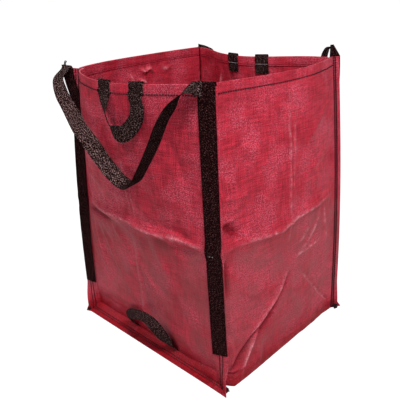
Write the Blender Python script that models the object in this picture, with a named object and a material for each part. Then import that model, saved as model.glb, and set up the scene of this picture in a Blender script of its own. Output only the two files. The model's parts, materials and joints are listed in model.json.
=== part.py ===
"""Garden waste bag: woven fabric panels, sewn seams, webbing straps and hinged grab loops.

Metres, +Z up. The front panel faces -Y, and the origin is on the floor under the bag's middle.
Each panel is a thin sheet that follows a joint surface, the surface where two cuts of fabric meet.
"""
import math

import bpy
import numpy
from mathutils import Vector

# Overall size, seam to seam
BAG_HEIGHT = 0.740
BASE_WIDTH = 0.530
BASE_DEPTH = 0.482
RIM_WIDTH = 0.472
RIM_DEPTH = 0.490

# Materials
FABRIC = 0.0009
WEBBING = 0.0015
WEBBING_WIDTH = 0.038
THREAD = 0.0008
GAP = 0.0003
THREAD_GAP = 0.0006

# Seams: the front and back panels are lapped under a folded margin of the U-shaped cut
MARGIN = 0.022
LAP = 0.018
STITCH_SPACING = 0.008
FOLD_CLEARANCE = 0.0012
FOLD_ROOM = 0.0009
KICK_HEIGHT = 0.016
CORNER_KICK = 0.018
TURN_HEIGHT = 0.098

# Rim
HEM = 0.020

# Straps and handles
STRAP_START = 0.098
STRAP_FLARE = 0.032
FLARE_HEIGHT = 0.110
TAIL_INSIDE = 0.050
TAIL_OUTSIDE = 0.018
TUCK = 0.012
TUCK_RISE = 0.006

# Each corner: sign of x and y, how far the soft bag leans from the plain size at the base and
# at the rim, its sideways bow, the seam's heading in degrees at the floor and above, its tip,
# and how far its webbing stands above the rim and what share of its width is left there
CORNERS = {
    "front_left": {
        "sign": (-1, -1), "base_lean": (0.003, -0.017), "rim_lean": (0.020, 0.009), "bow": -0.021,
        "floor_heading": 252, "heading": 194, "tip": 0.030, "kick": 0.0, "flare": STRAP_FLARE,
        "rise": 0.0, "narrow": 1.0,
    },
    "front_right": {
        "sign": (1, -1), "base_lean": (-0.009, 0.012), "rim_lean": (-0.001, 0.014), "bow": -0.004,
        "floor_heading": -32, "heading": 26, "tip": 0.040, "kick": CORNER_KICK, "flare": 0.0,
        "rise": 0.0, "narrow": 1.0,
    },
    "back_right": {
        "sign": (1, 1), "base_lean": (0.011, -0.005), "rim_lean": (-0.019, 0.005), "bow": 0.010,
        "floor_heading": 60, "heading": 78, "tip": 0.032, "kick": 0.0, "flare": 0.006,
        "rise": 0.030, "narrow": 0.30,
    },
    "back_left": {
        "sign": (-1, 1), "base_lean": (0.003, -0.001), "rim_lean": (-0.044, 0.011), "bow": -0.004,
        "floor_heading": 120, "heading": 150, "tip": 0.032, "kick": 0.0, "flare": 0.010,
        "rise": 0.008, "narrow": 1.0,
    },
}

# Each wall: how far it bulges at the rim, where along it the bulge peaks, how sharp it is, how
# far the rim sags, and how far the wall bulges half way up and at the floor
WALLS = {
    "front": {"bulge": 0.062, "peak": 0.37, "power": 1.0, "sag": 0.008, "belly": 0.004, "base": 0.0},
    "right": {"bulge": 0.028, "peak": 0.66, "power": 1.0, "sag": 0.004, "belly": 0.010, "base": 0.027},
    "back": {"bulge": -0.056, "peak": 0.58, "power": 1.6, "sag": 0.007, "belly": 0.008, "base": 0.0},
    "left": {"bulge": 0.044, "peak": 0.44, "power": 1.0, "sag": 0.002, "belly": 0.006, "base": 0.006},
}

# Rim handles: the middles of the two legs, measured along x on the wall, and the bottom handle
FRONT_HANDLE_LEGS = (-0.016, 0.078)
BACK_HANDLE_LEGS = (0.026, -0.069)
BOTTOM_HANDLE_LEGS = (-0.086, 0.076)
BACK_FLOOR_LEGS = (0.076, -0.086)

# Heights of the rows of points up a wall, above the kick and below the hem
LOW_ROWS = (0.046, 0.070)
HIGH_ROWS = (0.130, 0.175, 0.230, 0.300, 0.370, 0.440, 0.510, 0.570, 0.620, 0.660)
WALL_COLUMNS = 16
PANEL_COLUMNS = 30
SIDE_COLUMNS = 12


def smooth(value):
    """A soft step from 0 to 1."""
    value = min(max(value, 0.0), 1.0)
    return value * value * (3 - 2 * value)


def seam_point(corner, z):
    """The point of a corner's seam at height z, where both cuts of fabric meet."""
    data = CORNERS[corner]
    up = z / BAG_HEIGHT
    half_base = (BASE_WIDTH / 2, BASE_DEPTH / 2)
    half_rim = (RIM_WIDTH / 2, RIM_DEPTH / 2)
    place = []
    for axis in (0, 1):
        base = data["sign"][axis] * half_base[axis] + data["base_lean"][axis]
        rim = data["sign"][axis] * half_rim[axis] + data["rim_lean"][axis]
        place.append(base + (rim - base) * up)
    place[0] += data["bow"] * math.sin(math.pi * up)
    return Vector((place[0], place[1], max(z, FABRIC)))


def seam_heading(corner, z):
    """The direction in which a corner's seam margin points at height z."""
    data = CORNERS[corner]
    turn = smooth(z / TURN_HEIGHT)
    angle = math.radians(data["floor_heading"] + (data["heading"] - data["floor_heading"]) * turn)
    return Vector((math.cos(angle), math.sin(angle), 0))


def wall_bulge(wall, along, z):
    """How far a wall stands out from the straight line between its seams."""
    data = WALLS[wall]
    up = z / BAG_HEIGHT
    skewed = along ** (math.log(0.5) / math.log(data["peak"]))
    arch = math.sin(math.pi * skewed) ** data["power"]
    middle = math.sin(math.pi * along)
    rim = data["bulge"] * arch * smooth((up - 0.25) / 0.75)
    belly = data["belly"] * middle * math.sin(math.pi * up)
    base = data["base"] * min(along / 0.07, 1.0) * (1 - along) * (1 - up) ** 2
    return rim + belly + base


def wall_sag(wall, along, z):
    """How far a point of a wall hangs below its row's height."""
    up = z / BAG_HEIGHT
    return WALLS[wall]["sag"] * math.sin(math.pi * along) ** 2 * smooth((up - 0.6) / 0.4)


def bulged(wall, start, end, along, outward_sign=1):
    """A point between two seam points, pushed out by the wall's bulge."""
    chord = end - start
    point = start + chord * along
    outward = Vector((chord.y, -chord.x, 0)).normalized() * outward_sign
    height = point.z
    point = point + outward * wall_bulge(wall, along, height)
    point.z -= wall_sag(wall, along, height)
    return point


def panel_point(wall, left, right, along, z):
    """A point of the front or back panel at a share of its width and a height."""
    start = seam_point(left, z) - seam_heading(left, z) * LAP
    end = seam_point(right, z) - seam_heading(right, z) * LAP
    return bulged(wall, start, end, along)


def kick_height(left, right, along):
    """The height at which a panel's lap ends above the floor."""
    left_kick = CORNERS[left]["kick"] * smooth(1 - along / 0.25)
    right_kick = CORNERS[right]["kick"] * smooth((along - 0.75) / 0.25)
    return KICK_HEIGHT + left_kick + right_kick


def find_along(wall, left, right, x, z):
    """The share of a panel's width that lies at a given x."""
    low, high = 0.0, 1.0
    rising = panel_point(wall, left, right, 1, z).x > panel_point(wall, left, right, 0, z).x
    for _ in range(30):
        middle = (low + high) / 2
        if (panel_point(wall, left, right, middle, z).x < x) == rising:
            low = middle
        else:
            high = middle
    return (low + high) / 2


def leg_shares(wall, left, right, leg, z):
    """The shares of a panel's width at both edges of a piece of webbing 38 mm wide."""
    half = WEBBING_WIDTH / 2
    ends = [find_along(wall, left, right, leg + side * half, z) for side in (-1, 1)]
    return min(ends), max(ends)


PLAIN_SHARES = [i / WALL_COLUMNS for i in range(WALL_COLUMNS + 1)]


class Panel:
    """The joint surface of the front or back panel, as points by column and row.

    Columns EDGE, ROW, SEAM and LAP are the left margin's free edge, its outer stitches, the seam
    and the lap's end, and so from the right. Rows are the same along the floor. A corner of the
    margin is one shared tip.
    """

    EDGE, ROW, SEAM, LAP = 0, 1, 2, 3

    def __init__(self, wall, left, right, margin, rim_legs, floor_legs, whole=None):
        self.wall, self.left, self.right = wall, left, right
        self.margin = margin
        self.out = Vector((0, -1 if wall == "front" else 1, 0))
        self.shares = self.find_shares(rim_legs, floor_legs)
        self.heights = [0.0, 0.0, 0.0, 0.0, *LOW_ROWS, STRAP_START, *HIGH_ROWS,
                        BAG_HEIGHT - TAIL_INSIDE, BAG_HEIGHT - HEM, BAG_HEIGHT]
        self.last = len(self.shares) + 2 * self.LAP - 1
        self.top = len(self.heights) - 1
        self.points = {}
        for column in range(self.last + 1):
            for row in range(self.top + 1):
                self.points[column, row] = self.place(column, row)
        self.whole = whole or self
        self.faces = self.faces_over(self.points)
        self.lifts = offsets_by_point(self.faces)

    def faces_over(self, points):
        """Triangles over points of this panel's grid, cut the same way for every layer."""
        corners = {(self.SEAM, self.SEAM): True, (self.last - self.LAP, self.SEAM): False}
        return grid_faces(points, (0, self.last), (0, self.top), self.whole.points, corners)

    def find_shares(self, rim_legs, floor_legs):
        """The shares of the width that carry a column, with one at each edge of a sewn end."""
        shares = list(PLAIN_SHARES)
        for leg in rim_legs:
            low, high = leg_shares(self.wall, self.left, self.right, leg, BAG_HEIGHT)
            shares = [s for s in shares if not low - 0.012 < s < high + 0.012] + [low, high]
        for leg in floor_legs:
            low, high = leg_shares(self.wall, self.left, self.right, leg, KICK_HEIGHT)
            step = TUCK_RISE / BASE_WIDTH
            near = [s for s in shares if low - 2 * step < s < high + 2 * step and s in PLAIN_SHARES]
            shares = [s for s in shares if s not in near] + [low - step, low, high, high + step]
        shares.sort()
        while len(shares) < PANEL_COLUMNS:
            widest = max(range(len(shares) - 1), key=lambda i: shares[i + 1] - shares[i])
            shares.insert(widest + 1, (shares[widest] + shares[widest + 1]) / 2)
        return shares

    def place(self, column, row):
        """The point of one column and row."""
        beside = min(column, self.last - column)
        corner = self.left if column < self.last / 2 else self.right
        share = self.shares[min(max(column - self.LAP, 0), len(self.shares) - 1)]
        kick = kick_height(self.left, self.right, share)
        z = kick if row == self.LAP else self.heights[row]
        if beside < self.LAP and row < self.SEAM:
            return self.rim_of_margin(corner, min(beside, row))
        if beside < self.LAP:
            reach = (self.margin, STITCH_SPACING, 0.0)[beside]
            if row == self.SEAM:
                reach = self.tip_reach(corner, beside)
            return seam_point(corner, z) + seam_heading(corner, z) * reach
        if row >= self.LAP:
            return panel_point(self.wall, self.left, self.right, share, z)
        start, end = seam_point(self.left, 0), seam_point(self.right, 0)
        above = panel_point(self.wall, self.left, self.right, share, kick)
        point = start + (end - start) * ((above.x - start.x) / (end.x - start.x))
        return point + self.out * (self.margin, STITCH_SPACING, 0.0)[row]

    def tip_reach(self, corner, beside):
        """How far the margin reaches out at a bottom corner."""
        return (self.margin, STITCH_SPACING, 0.0)[beside] * CORNERS[corner]["tip"] / MARGIN

    def rim_of_margin(self, corner, ring):
        """The one point of a bottom corner that a ring of the margin passes."""
        return seam_point(corner, 0) + seam_heading(corner, 0) * self.tip_reach(corner, ring)

    def lift(self, column, row):
        """The mitred offset of a point."""
        return offset_of(self.lifts, self.points[column, row])

    def raised(self, column, row, height):
        """A point moved out of the surface by a height."""
        return self.points[column, row] + self.lift(column, row) * height

    def columns_between(self, low, high):
        """The columns whose share of the width lies in a range."""
        return [i + self.LAP for i, s in enumerate(self.shares) if low - 1e-6 <= s <= high + 1e-6]


def place_key(point):
    """A point's place, rounded so that shared points are found again."""
    return tuple(round(value, 6) for value in point)


def weld(faces):
    """Shared vertices and index faces from loose faces of points."""
    index = {}
    vertices = []
    welded = []
    for face in faces:
        ids = []
        for point in face:
            key = place_key(point)
            if key not in index:
                index[key] = len(vertices)
                vertices.append(point)
            ids.append(index[key])
        welded.append(ids)
    return vertices, welded


def face_normal(vertices, face):
    """The unit normal of a face with three or four corners."""
    if len(face) == 4:
        first = vertices[face[2]] - vertices[face[0]]
        second = vertices[face[3]] - vertices[face[1]]
    else:
        first = vertices[face[1]] - vertices[face[0]]
        second = vertices[face[2]] - vertices[face[0]]
    return first.cross(second).normalized()


def mitre_normals(vertices, faces):
    """For each vertex, the offset that moves every face beside it out by one."""
    around = [[] for _ in vertices]
    for face in faces:
        normal = face_normal(vertices, face)
        for vertex in face:
            around[vertex].append(normal)
    offsets = []
    for normals in around:
        matrix = numpy.array([tuple(normal) for normal in normals])
        offset = numpy.linalg.pinv(matrix, rcond=0.2) @ numpy.ones(len(normals))
        least = min(matrix @ offset)
        if least < 0.4:
            mean = matrix.mean(axis=0)
            offset = mean / numpy.linalg.norm(mean)
            least = max(min(matrix @ offset), 0.4)
        offsets.append(Vector(offset) / min(least, 1.0))
    return offsets


def split(vertices, faces):
    """Triangles, each four-sided face cut along its shorter diagonal."""
    triangles = []
    for face in faces:
        if len(face) == 3:
            triangles.append(face)
            continue
        a, b, c, d = face
        if (vertices[a] - vertices[c]).length <= (vertices[b] - vertices[d]).length + 1e-9:
            triangles += [[a, b, c], [a, c, d]]
        else:
            triangles += [[a, b, d], [b, c, d]]
    return triangles


def closed_sheet(name, faces, near, far, material, parent=None, given=None):
    """One closed body between two offsets of a surface, resting flat on the floor at its lowest."""
    vertices, faces = weld(faces)
    offsets = mitre_normals(vertices, faces)
    if given:
        offsets = [given.get(place_key(v), own) for v, own in zip(vertices, offsets)]
    count = len(vertices)
    faces = split(vertices, faces)
    body = [v + o * near for v, o in zip(vertices, offsets)]
    body += [v + o * far for v, o in zip(vertices, offsets)]
    body = [Vector((v.x, v.y, max(v.z, 0.0))) for v in body]
    skin = [list(reversed(face)) for face in faces]
    skin += [[i + count for i in face] for face in faces]
    edges = set()
    for face in faces:
        for a, b in zip(face, face[1:] + face[:1]):
            edges.add((a, b))
    for a, b in sorted(edges):
        if (b, a) not in edges:
            skin.append([a, b, b + count, a + count])
    return make_object(name, body, skin, material, parent)


def make_object(name, vertices, faces, material, parent=None):
    """A mesh object in the scene, with its origin on its parent's joint axis if it has one."""
    origin = parent.location if parent else Vector()
    mesh = bpy.data.meshes.new(name)
    mesh.from_pydata([v - origin for v in vertices], [], faces)
    mesh.validate()
    mesh.materials.append(material)
    item = bpy.data.objects.new(name, mesh)
    item.parent = parent
    bpy.context.scene.collection.objects.link(item)
    return item


def make_material(name, colour, roughness):
    """A plain material with the part's colour."""
    material = bpy.data.materials.new(name)
    material.use_nodes = True
    shader = material.node_tree.nodes["Principled BSDF"]
    shader.inputs["Base Color"].default_value = (*colour, 1)
    shader.inputs["Roughness"].default_value = roughness
    shader.inputs["Metallic"].default_value = 0.0
    material.diffuse_color = (*colour, 1)
    return material


def triangles_of(grid, keys, reference, forced=None):
    """A face of a grid as triangles, cut along the shorter diagonal of its reference points."""
    loop = []
    for key in keys:
        if all((grid[key] - grid[other]).length > 1e-7 for other in loop):
            loop.append(key)
    if len(loop) < 4:
        return [[grid[key] for key in loop]] if len(loop) == 3 else []
    a, b, c, d = (reference[key] for key in keys)
    first = (a - c).length <= (b - d).length if forced is None else forced
    orders = ((0, 1, 2), (0, 2, 3)) if first else ((0, 1, 3), (1, 2, 3))
    return [[grid[keys[i]] for i in order] for order in orders]


def grid_faces(grid, columns, rows, reference=None, forced=None):
    """Triangles over a grid of points, facing out of column cross row."""
    faces = []
    for column in range(columns[0], columns[1]):
        for row in range(rows[0], rows[1]):
            keys = [(column, row), (column + 1, row), (column + 1, row + 1), (column, row + 1)]
            diagonal = (forced or {}).get((column, row))
            faces += triangles_of(grid, keys, reference or grid, diagonal)
    return faces


def offsets_by_point(faces):
    """The mitred offset of each point of a surface, looked up by place."""
    vertices, welded = weld(faces)
    offsets = mitre_normals(vertices, welded)
    return {place_key(point): offset for point, offset in zip(vertices, offsets)}


def offset_of(table, point):
    """The offset stored for a point."""
    return table[place_key(point)]


def build_panel(panel, whole, material):
    """The front or back panel, with its hem turned in at the rim.

    It follows the offsets of the whole joint surface, so that it nests under the folded margin.
    """
    top = panel.top
    share = (panel.margin - STITCH_SPACING) / (whole.margin - STITCH_SPACING)
    given = {}
    points = dict(panel.points)
    for column in range(panel.last + 1):
        for row in range(top + 1):
            lift = whole.lift(column, row)
            if column in (0, panel.last):
                inward = 1 if column == 0 else -1
                lift = whole.lift(column + inward, row).lerp(lift, share)
            elif row == 0:
                lift = whole.lift(column, 1).lerp(lift, share)
            if column in (0, panel.last) or row == 0:
                points[column, row] = panel.points[column, row] + lift * (FOLD_ROOM / 2)
            if row < top:
                given[place_key(points[column, row])] = lift
    for corner in (0, panel.last):
        inward = 1 if corner == 0 else -1
        for column, row in ((corner, 0), (corner, 1), (corner + inward, 0), (corner + 2 * inward, 0)):
            points[column, row] = points[corner, panel.SEAM]
    faces = panel.faces_over(points)
    for column in range(panel.LAP + 1, panel.last - panel.LAP - 1):
        rings = []
        for side in (column, column + 1):
            rim = panel.points[side, top]
            rings.append((rim, panel.raised(side, top, -GAP), panel.raised(side, top - 1, -GAP)))
        for step in (0, 1):
            faces.append([rings[0][step], rings[1][step], rings[1][step + 1], rings[0][step + 1]])
    closed_sheet(panel.wall + "_panel", faces, GAP, GAP + FABRIC, material, given=given)


# The folded margin stands off the joint surface by the panel between, with a gap on both faces,
# and further where a handle's sewn end is tucked under it
STACK = GAP + FABRIC + GAP
TUCK_STACK = STACK + WEBBING + GAP
MARGIN_LINE = ("lap", "over_seam", "over_row", "fold", "edge", "row", "seam")


def tuck_share(panel, spans, column):
    """How far a column of the margin is lifted by a sewn end tucked under it, from 0 to 1."""
    share = panel.shares[column - panel.LAP]
    beyond = [max(low - share, share - high, 0.0) for low, high in spans]
    return max([0.0] + [1 - distance * BASE_WIDTH / TUCK_RISE for distance in beyond])


def margin_rungs(panel, legs):
    """The folded margin round one panel, as rungs from one rim corner down, along and up."""
    top, last = panel.top, panel.last
    spans = [leg_shares(panel.wall, panel.left, panel.right, leg, KICK_HEIGHT) for leg in legs]
    path = [("left", row) for row in range(top, panel.SEAM - 1, -1)]
    path += [("floor", column) for column in range(panel.LAP, last - panel.LAP + 1)]
    path += [("right", row) for row in range(panel.SEAM, top + 1)]
    rungs = []
    for side, index in path:
        keys = []
        for ring in (panel.EDGE, panel.ROW, panel.SEAM, panel.LAP):
            if side == "floor":
                keys.append((index, ring))
            else:
                column = ring if side == "left" else last - ring
                keys.append((column, max(index, ring)))
        edge, row, seam, lap = keys
        over = STACK
        if side == "floor":
            over += (TUCK_STACK - STACK) * tuck_share(panel, spans, index)
        rungs.append({
            "lap": panel.raised(*lap, over),
            "over_seam": panel.raised(*seam, over),
            "over_row": panel.raised(*row, STACK),
            "fold": panel.raised(*edge, STACK + FOLD_ROOM),
            "edge": panel.points[edge],
            "row": panel.points[row],
            "seam": panel.points[seam],
            "lift_seam": panel.lift(*seam),
            "lift_row": panel.lift(*row),
            "plain": [panel.points[key] for key in (lap, seam, row, edge, edge, row, seam)],
        })
    return rungs


def build_u_panel(front, back, material):
    """The U-shaped cut: left side, bottom, right side and both folded margins."""
    count = len(front)
    grid = {}
    plain = {}
    floor = [abs(rung["seam"].z - FABRIC) < 1e-6 for rung in front]
    for row in range(count):
        start, end = front[row]["seam"], back[row]["seam"]
        line = [front[row][key] for key in MARGIN_LINE]
        wall = "left" if row < count / 2 else "right"
        sign = -1 if wall == "left" else 1
        inner_floor = floor[row] and floor[max(row - 1, 0)] and floor[min(row + 1, count - 1)]
        for step in range(1, SIDE_COLUMNS):
            along = step / SIDE_COLUMNS
            if inner_floor:
                line.append(start + (end - start) * along)
            else:
                line.append(bulged(wall, start, end, along, sign))
        wall_line = line[len(MARGIN_LINE):]
        line += [back[row][key] for key in reversed(MARGIN_LINE)]
        plain_line = front[row]["plain"] + wall_line + list(reversed(back[row]["plain"]))
        for column, point in enumerate(line):
            grid[column, row] = point
            plain[column, row] = plain_line[column]
    columns = SIDE_COLUMNS + 2 * len(MARGIN_LINE) - 2
    faces = grid_faces(grid, (0, columns), (0, count - 1), plain)
    table = offsets_by_point(faces)
    inside = len(MARGIN_LINE)
    for top, below in ((0, 1), (count - 1, count - 2)):
        for column in range(inside, columns - inside):
            rings = []
            for side in (column, column + 1):
                inward = grid[side, top] - offset_of(table, grid[side, top]) * GAP
                inward_low = grid[side, below] - offset_of(table, grid[side, below]) * GAP
                rings.append((grid[side, top], inward, inward_low))
            for step in (0, 1):
                face = [rings[0][step + 1], rings[1][step + 1], rings[1][step], rings[0][step]]
                faces.append(face if top == 0 else list(reversed(face)))
    closed_sheet("u_panel", faces, 0.0, FABRIC, material)


def tube_along(name, points, radius, material):
    """A thread as a thin square tube with closed ends."""
    body = []
    skin = []
    up = Vector((0.31, 0.17, 0.93))
    for i, point in enumerate(points):
        before = (point - points[max(i - 1, 0)]).normalized()
        after = (points[min(i + 1, len(points) - 1)] - point).normalized()
        ahead = (before + after).normalized()
        side = ahead.cross(up).normalized()
        up = side.cross(ahead).normalized()
        for a, b in ((1, 0), (0, 1), (-1, 0), (0, -1)):
            body.append(point + side * (radius * a) + up * (radius * b))
    for i in range(len(points) - 1):
        for k in range(4):
            a, b = 4 * i + k, 4 * i + (k + 1) % 4
            skin.append([a, a + 4, b + 4, b])
    skin.append([0, 1, 2, 3])
    end = 4 * (len(points) - 1)
    skin.append([end + 3, end + 2, end + 1, end])
    return make_object(name, body, skin, material)


def seam_thread(name, rungs, over, lift, material):
    """A row of stitches on the folded margin."""
    height = FABRIC + THREAD_GAP + THREAD / 2
    return tube_along(name, [rung[over] + rung[lift] * height for rung in rungs], THREAD / 2, material)


def strap_heights(corner):
    """Heights of the rows up a corner strap, the same as the fabric's under it, and above the rim."""
    heights = [STRAP_START, *HIGH_ROWS, BAG_HEIGHT - TAIL_INSIDE, BAG_HEIGHT - HEM, BAG_HEIGHT]
    rise = CORNERS[corner]["rise"]
    return heights + [BAG_HEIGHT + rise / 2, BAG_HEIGHT + rise] if rise else heights


def strap_frame(corner, z):
    """The middle of a corner strap at height z, its direction across and its way out."""
    heading = seam_heading(corner, z)
    front = CORNERS[corner]["sign"][1] < 0
    right = CORNERS[corner]["sign"][0] > 0
    out = Vector((heading.y, -heading.x, 0))
    if front != right:
        out = -out
    flare = CORNERS[corner]["flare"] * smooth((z - BAG_HEIGHT + FLARE_HEIGHT) / FLARE_HEIGHT)
    shift = (MARGIN - LAP) / 2 + flare
    stand_off = STACK + FABRIC + THREAD_GAP + THREAD + GAP + WEBBING / 2
    middle = seam_point(corner, z) + heading * shift + out * stand_off
    return middle, heading, out


def strap_edges(corner, z):
    """A corner strap's inner and outer edge at height z, and its way out."""
    middle, heading, out = strap_frame(corner, min(z, BAG_HEIGHT))
    above = max(z - BAG_HEIGHT, 0.0)
    width = WEBBING_WIDTH
    if above:
        width *= 1 - (1 - CORNERS[corner]["narrow"]) * above / CORNERS[corner]["rise"]
    inner = middle - heading * (WEBBING_WIDTH / 2) + Vector((0, 0, above))
    return inner, inner + heading * width, out


def build_strap(corner, material):
    """The webbing sewn over one corner seam, and its end that stands above the rim."""
    grid = {}
    right = CORNERS[corner]["sign"][0] * -CORNERS[corner]["sign"][1] > 0
    heights = strap_heights(corner)
    for row, z in enumerate(heights):
        edges = strap_edges(corner, z)[:2]
        start, end = edges if right else reversed(edges)
        for column, share in enumerate((0.0, 0.5, 1.0)):
            grid[column, row] = start.lerp(end, share)
    faces = grid_faces(grid, (0, 2), (0, len(heights) - 1))
    return closed_sheet(corner + "_webbing", faces, -WEBBING / 2, WEBBING / 2, material)


def spline(points, steps):
    """A smooth curve through hand-chosen points."""
    curve = []
    for i in range(len(points) - 1):
        p0 = points[max(i - 1, 0)]
        p1, p2 = points[i], points[i + 1]
        p3 = points[min(i + 2, len(points) - 1)]
        for step in range(steps):
            t = step / steps
            curve.append(0.5 * ((2 * p1) + (p2 - p0) * t + (2 * p0 - 5 * p1 + 4 * p2 - p3) * t * t
                                + (3 * p1 - p0 - 3 * p2 + p3) * t * t * t))
    curve.append(points[-1])
    return curve


def empty_at(name, place):
    """An empty on a joint's axis."""
    item = bpy.data.objects.new(name, None)
    item.location = place
    bpy.context.scene.collection.objects.link(item)
    return item


def in_front(pair, corners, clearance):
    """A pair of points of the front loop, moved together along the slant to clear the panel."""
    left, right = corners
    moved = [Vector(point) for point in pair]
    for _ in range(4):
        short = 0.0
        for point in moved:
            share = find_along("front", left, right, point.x, point.z)
            surface = panel_point("front", left, right, share, point.z).y
            short = max(short, point.y - surface + clearance)
        moved = [point + LOOP_SLANT * short for point in moved]
    return moved


def build_loop(name, stations, axis, material, steps=3):
    """A loop of webbing between two edges, each station a pair of points."""
    near_edge = spline([Vector(a) for a, _ in stations], steps)
    far_edge = spline([Vector(b) for _, b in stations], steps)
    grid = {}
    for row, (a, b) in enumerate(zip(near_edge, far_edge)):
        grid[0, row] = a
        grid[1, row] = b
    faces = grid_faces(grid, (0, 1), (0, len(near_edge) - 1))
    start, end = axis
    pivot = empty_at(name + "_axis", (start + end) / 2)
    direction = (end - start).normalized()
    print(name, "axis", [round(v, 5) for v in pivot.location], [round(v, 5) for v in direction])
    return closed_sheet(name, faces, -WEBBING / 2, WEBBING / 2, material, pivot)


# Where a loop's end lies in front of the webbing that carries it, and below its top
HINGE_STANDOFF = WEBBING / 2 + GAP + WEBBING / 2
HINGE_DROP = 0.003
LIFT_DROP = 0.0015

# The front lift loop hangs from both front corners: pairs of points, outer edge and panel edge,
# between its two ends
FRONT_LIFT_LOOP = [
    ((-0.288, -0.270, 0.716), (-0.252, -0.262, 0.718)),
    ((-0.279, -0.281, 0.697), (-0.247, -0.263, 0.700)),
    ((-0.252, -0.292, 0.671), (-0.231, -0.262, 0.672)),
    ((-0.208, -0.300, 0.638), (-0.189, -0.268, 0.645)),
    ((-0.160, -0.307, 0.601), (-0.145, -0.273, 0.610)),
    ((-0.113, -0.311, 0.573), (-0.101, -0.277, 0.587)),
    ((-0.065, -0.313, 0.539), (-0.053, -0.280, 0.553)),
    ((-0.025, -0.312, 0.512), (-0.012, -0.279, 0.524)),
    ((0.012, -0.308, 0.494), (0.020, -0.274, 0.506)),
    ((0.045, -0.306, 0.503), (0.047, -0.270, 0.509)),
    ((0.082, -0.304, 0.552), (0.078, -0.267, 0.550)),
    ((0.123, -0.303, 0.611), (0.122, -0.265, 0.610)),
    ((0.152, -0.298, 0.664), (0.149, -0.260, 0.662)),
    ((0.181, -0.291, 0.703), (0.173, -0.257, 0.693)),
    ((0.207, -0.277, 0.724), (0.190, -0.251, 0.712)),
    ((0.233, -0.258, 0.728), (0.206, -0.248, 0.725)),
]

# How far the front lift loop's webbing hangs in front of the panel's joint surface
LOOP_CLEARANCE = 0.004
# and the way it moves for each metre towards the front
LOOP_SLANT = Vector((1.5, -1.0, 0.5))

# The back lift loop leaves the fold above the back right corner, hangs behind the bag and comes up
# to the back left corner: pairs of points, inner or upper edge and outer or lower edge
BACK_LIFT_LOOP = [
    ((0.203, 0.240, 0.764), (0.200, 0.262, 0.759)),
    ((0.194, 0.243, 0.757), (0.190, 0.274, 0.750)),
    ((0.185, 0.247, 0.743), (0.182, 0.283, 0.739)),
    ((0.178, 0.251, 0.719), (0.175, 0.288, 0.716)),
    ((0.166, 0.255, 0.690), (0.164, 0.293, 0.687)),
    ((0.146, 0.259, 0.650), (0.146, 0.297, 0.645)),
    ((0.112, 0.262, 0.600), (0.115, 0.300, 0.592)),
    ((0.062, 0.262, 0.548), (0.064, 0.300, 0.540)),
    ((-0.010, 0.262, 0.518), (-0.010, 0.300, 0.510)),
    ((-0.072, 0.266, 0.532), (-0.074, 0.304, 0.524)),
    ((-0.128, 0.272, 0.580), (-0.132, 0.310, 0.572)),
    ((-0.176, 0.276, 0.636), (-0.182, 0.313, 0.629)),
    ((-0.208, 0.278, 0.686), (-0.216, 0.312, 0.672)),
    ((-0.240, 0.280, 0.729), (-0.240, 0.306, 0.702)),
    ((-0.262, 0.280, 0.739), (-0.256, 0.298, 0.708)),
    ((-0.284, 0.280, 0.744), (-0.282, 0.288, 0.711)),
]

# Half the width of the back lift loop's webbing at its fold, and how far below the strap's top
# the fold's middle lies
FOLD_HALF = 0.006
FOLD_DROP = 0.005

# The front rim handle hangs proud of the panel, its left leg turned edge-on
FRONT_HANDLE = [
    ((-0.035, -0.301, 0.705), (0.003, -0.299, 0.705)),
    ((-0.027, -0.303, 0.688), (0.007, -0.309, 0.692)),
    ((-0.017, -0.301, 0.660), (0.010, -0.319, 0.670)),
    ((-0.006, -0.299, 0.632), (0.019, -0.318, 0.648)),
    ((0.010, -0.302, 0.612), (0.026, -0.306, 0.645)),
    ((0.034, -0.303, 0.606), (0.034, -0.303, 0.645)),
    ((0.060, -0.298, 0.614), (0.044, -0.302, 0.648)),
    ((0.086, -0.292, 0.636), (0.056, -0.300, 0.658)),
    ((0.104, -0.288, 0.664), (0.066, -0.296, 0.672)),
    ((0.104, -0.285, 0.690), (0.066, -0.291, 0.690)),
    ((0.098, -0.284, 0.705), (0.060, -0.290, 0.705)),
]

# The back rim handle and the bottom handle are plain arches of these lengths
BACK_HANDLE_DROP = 0.105
BACK_HANDLE_STANDOFF = 0.012
BOTTOM_HANDLE_RISE = 0.088
BOTTOM_HANDLE_STANDOFF = 0.016

# The share of each arch's height at which its webbing starts to turn edge-on
BACK_TURN_START = 0.35
BOTTOM_TURN_START = 0.0


def loop_end(place, across, half=WEBBING_WIDTH / 2):
    """The two corners of a loop's end at a place on its axis."""
    return (place - across * half, place + across * half)


def lift_axis(left, right):
    """The two ends of a lift loop's joint axis, in front of both straps' tops."""
    ends = []
    z = BAG_HEIGHT - LIFT_DROP
    outward = Vector((0, CORNERS[left]["sign"][1], 0))
    for corner in (left, right):
        middle, heading, out = strap_frame(corner, z)
        strap_edge = abs(heading.y) * WEBBING_WIDTH / 2 + abs(out.y) * WEBBING / 2
        fold = seam_point(corner, z) + heading * (MARGIN + FABRIC) - middle
        front_most = max(strap_edge, fold.dot(outward) + abs(out.y) * (STACK + FABRIC))
        ends.append(middle + outward * (front_most + GAP + WEBBING / 2))
    return ends


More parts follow.
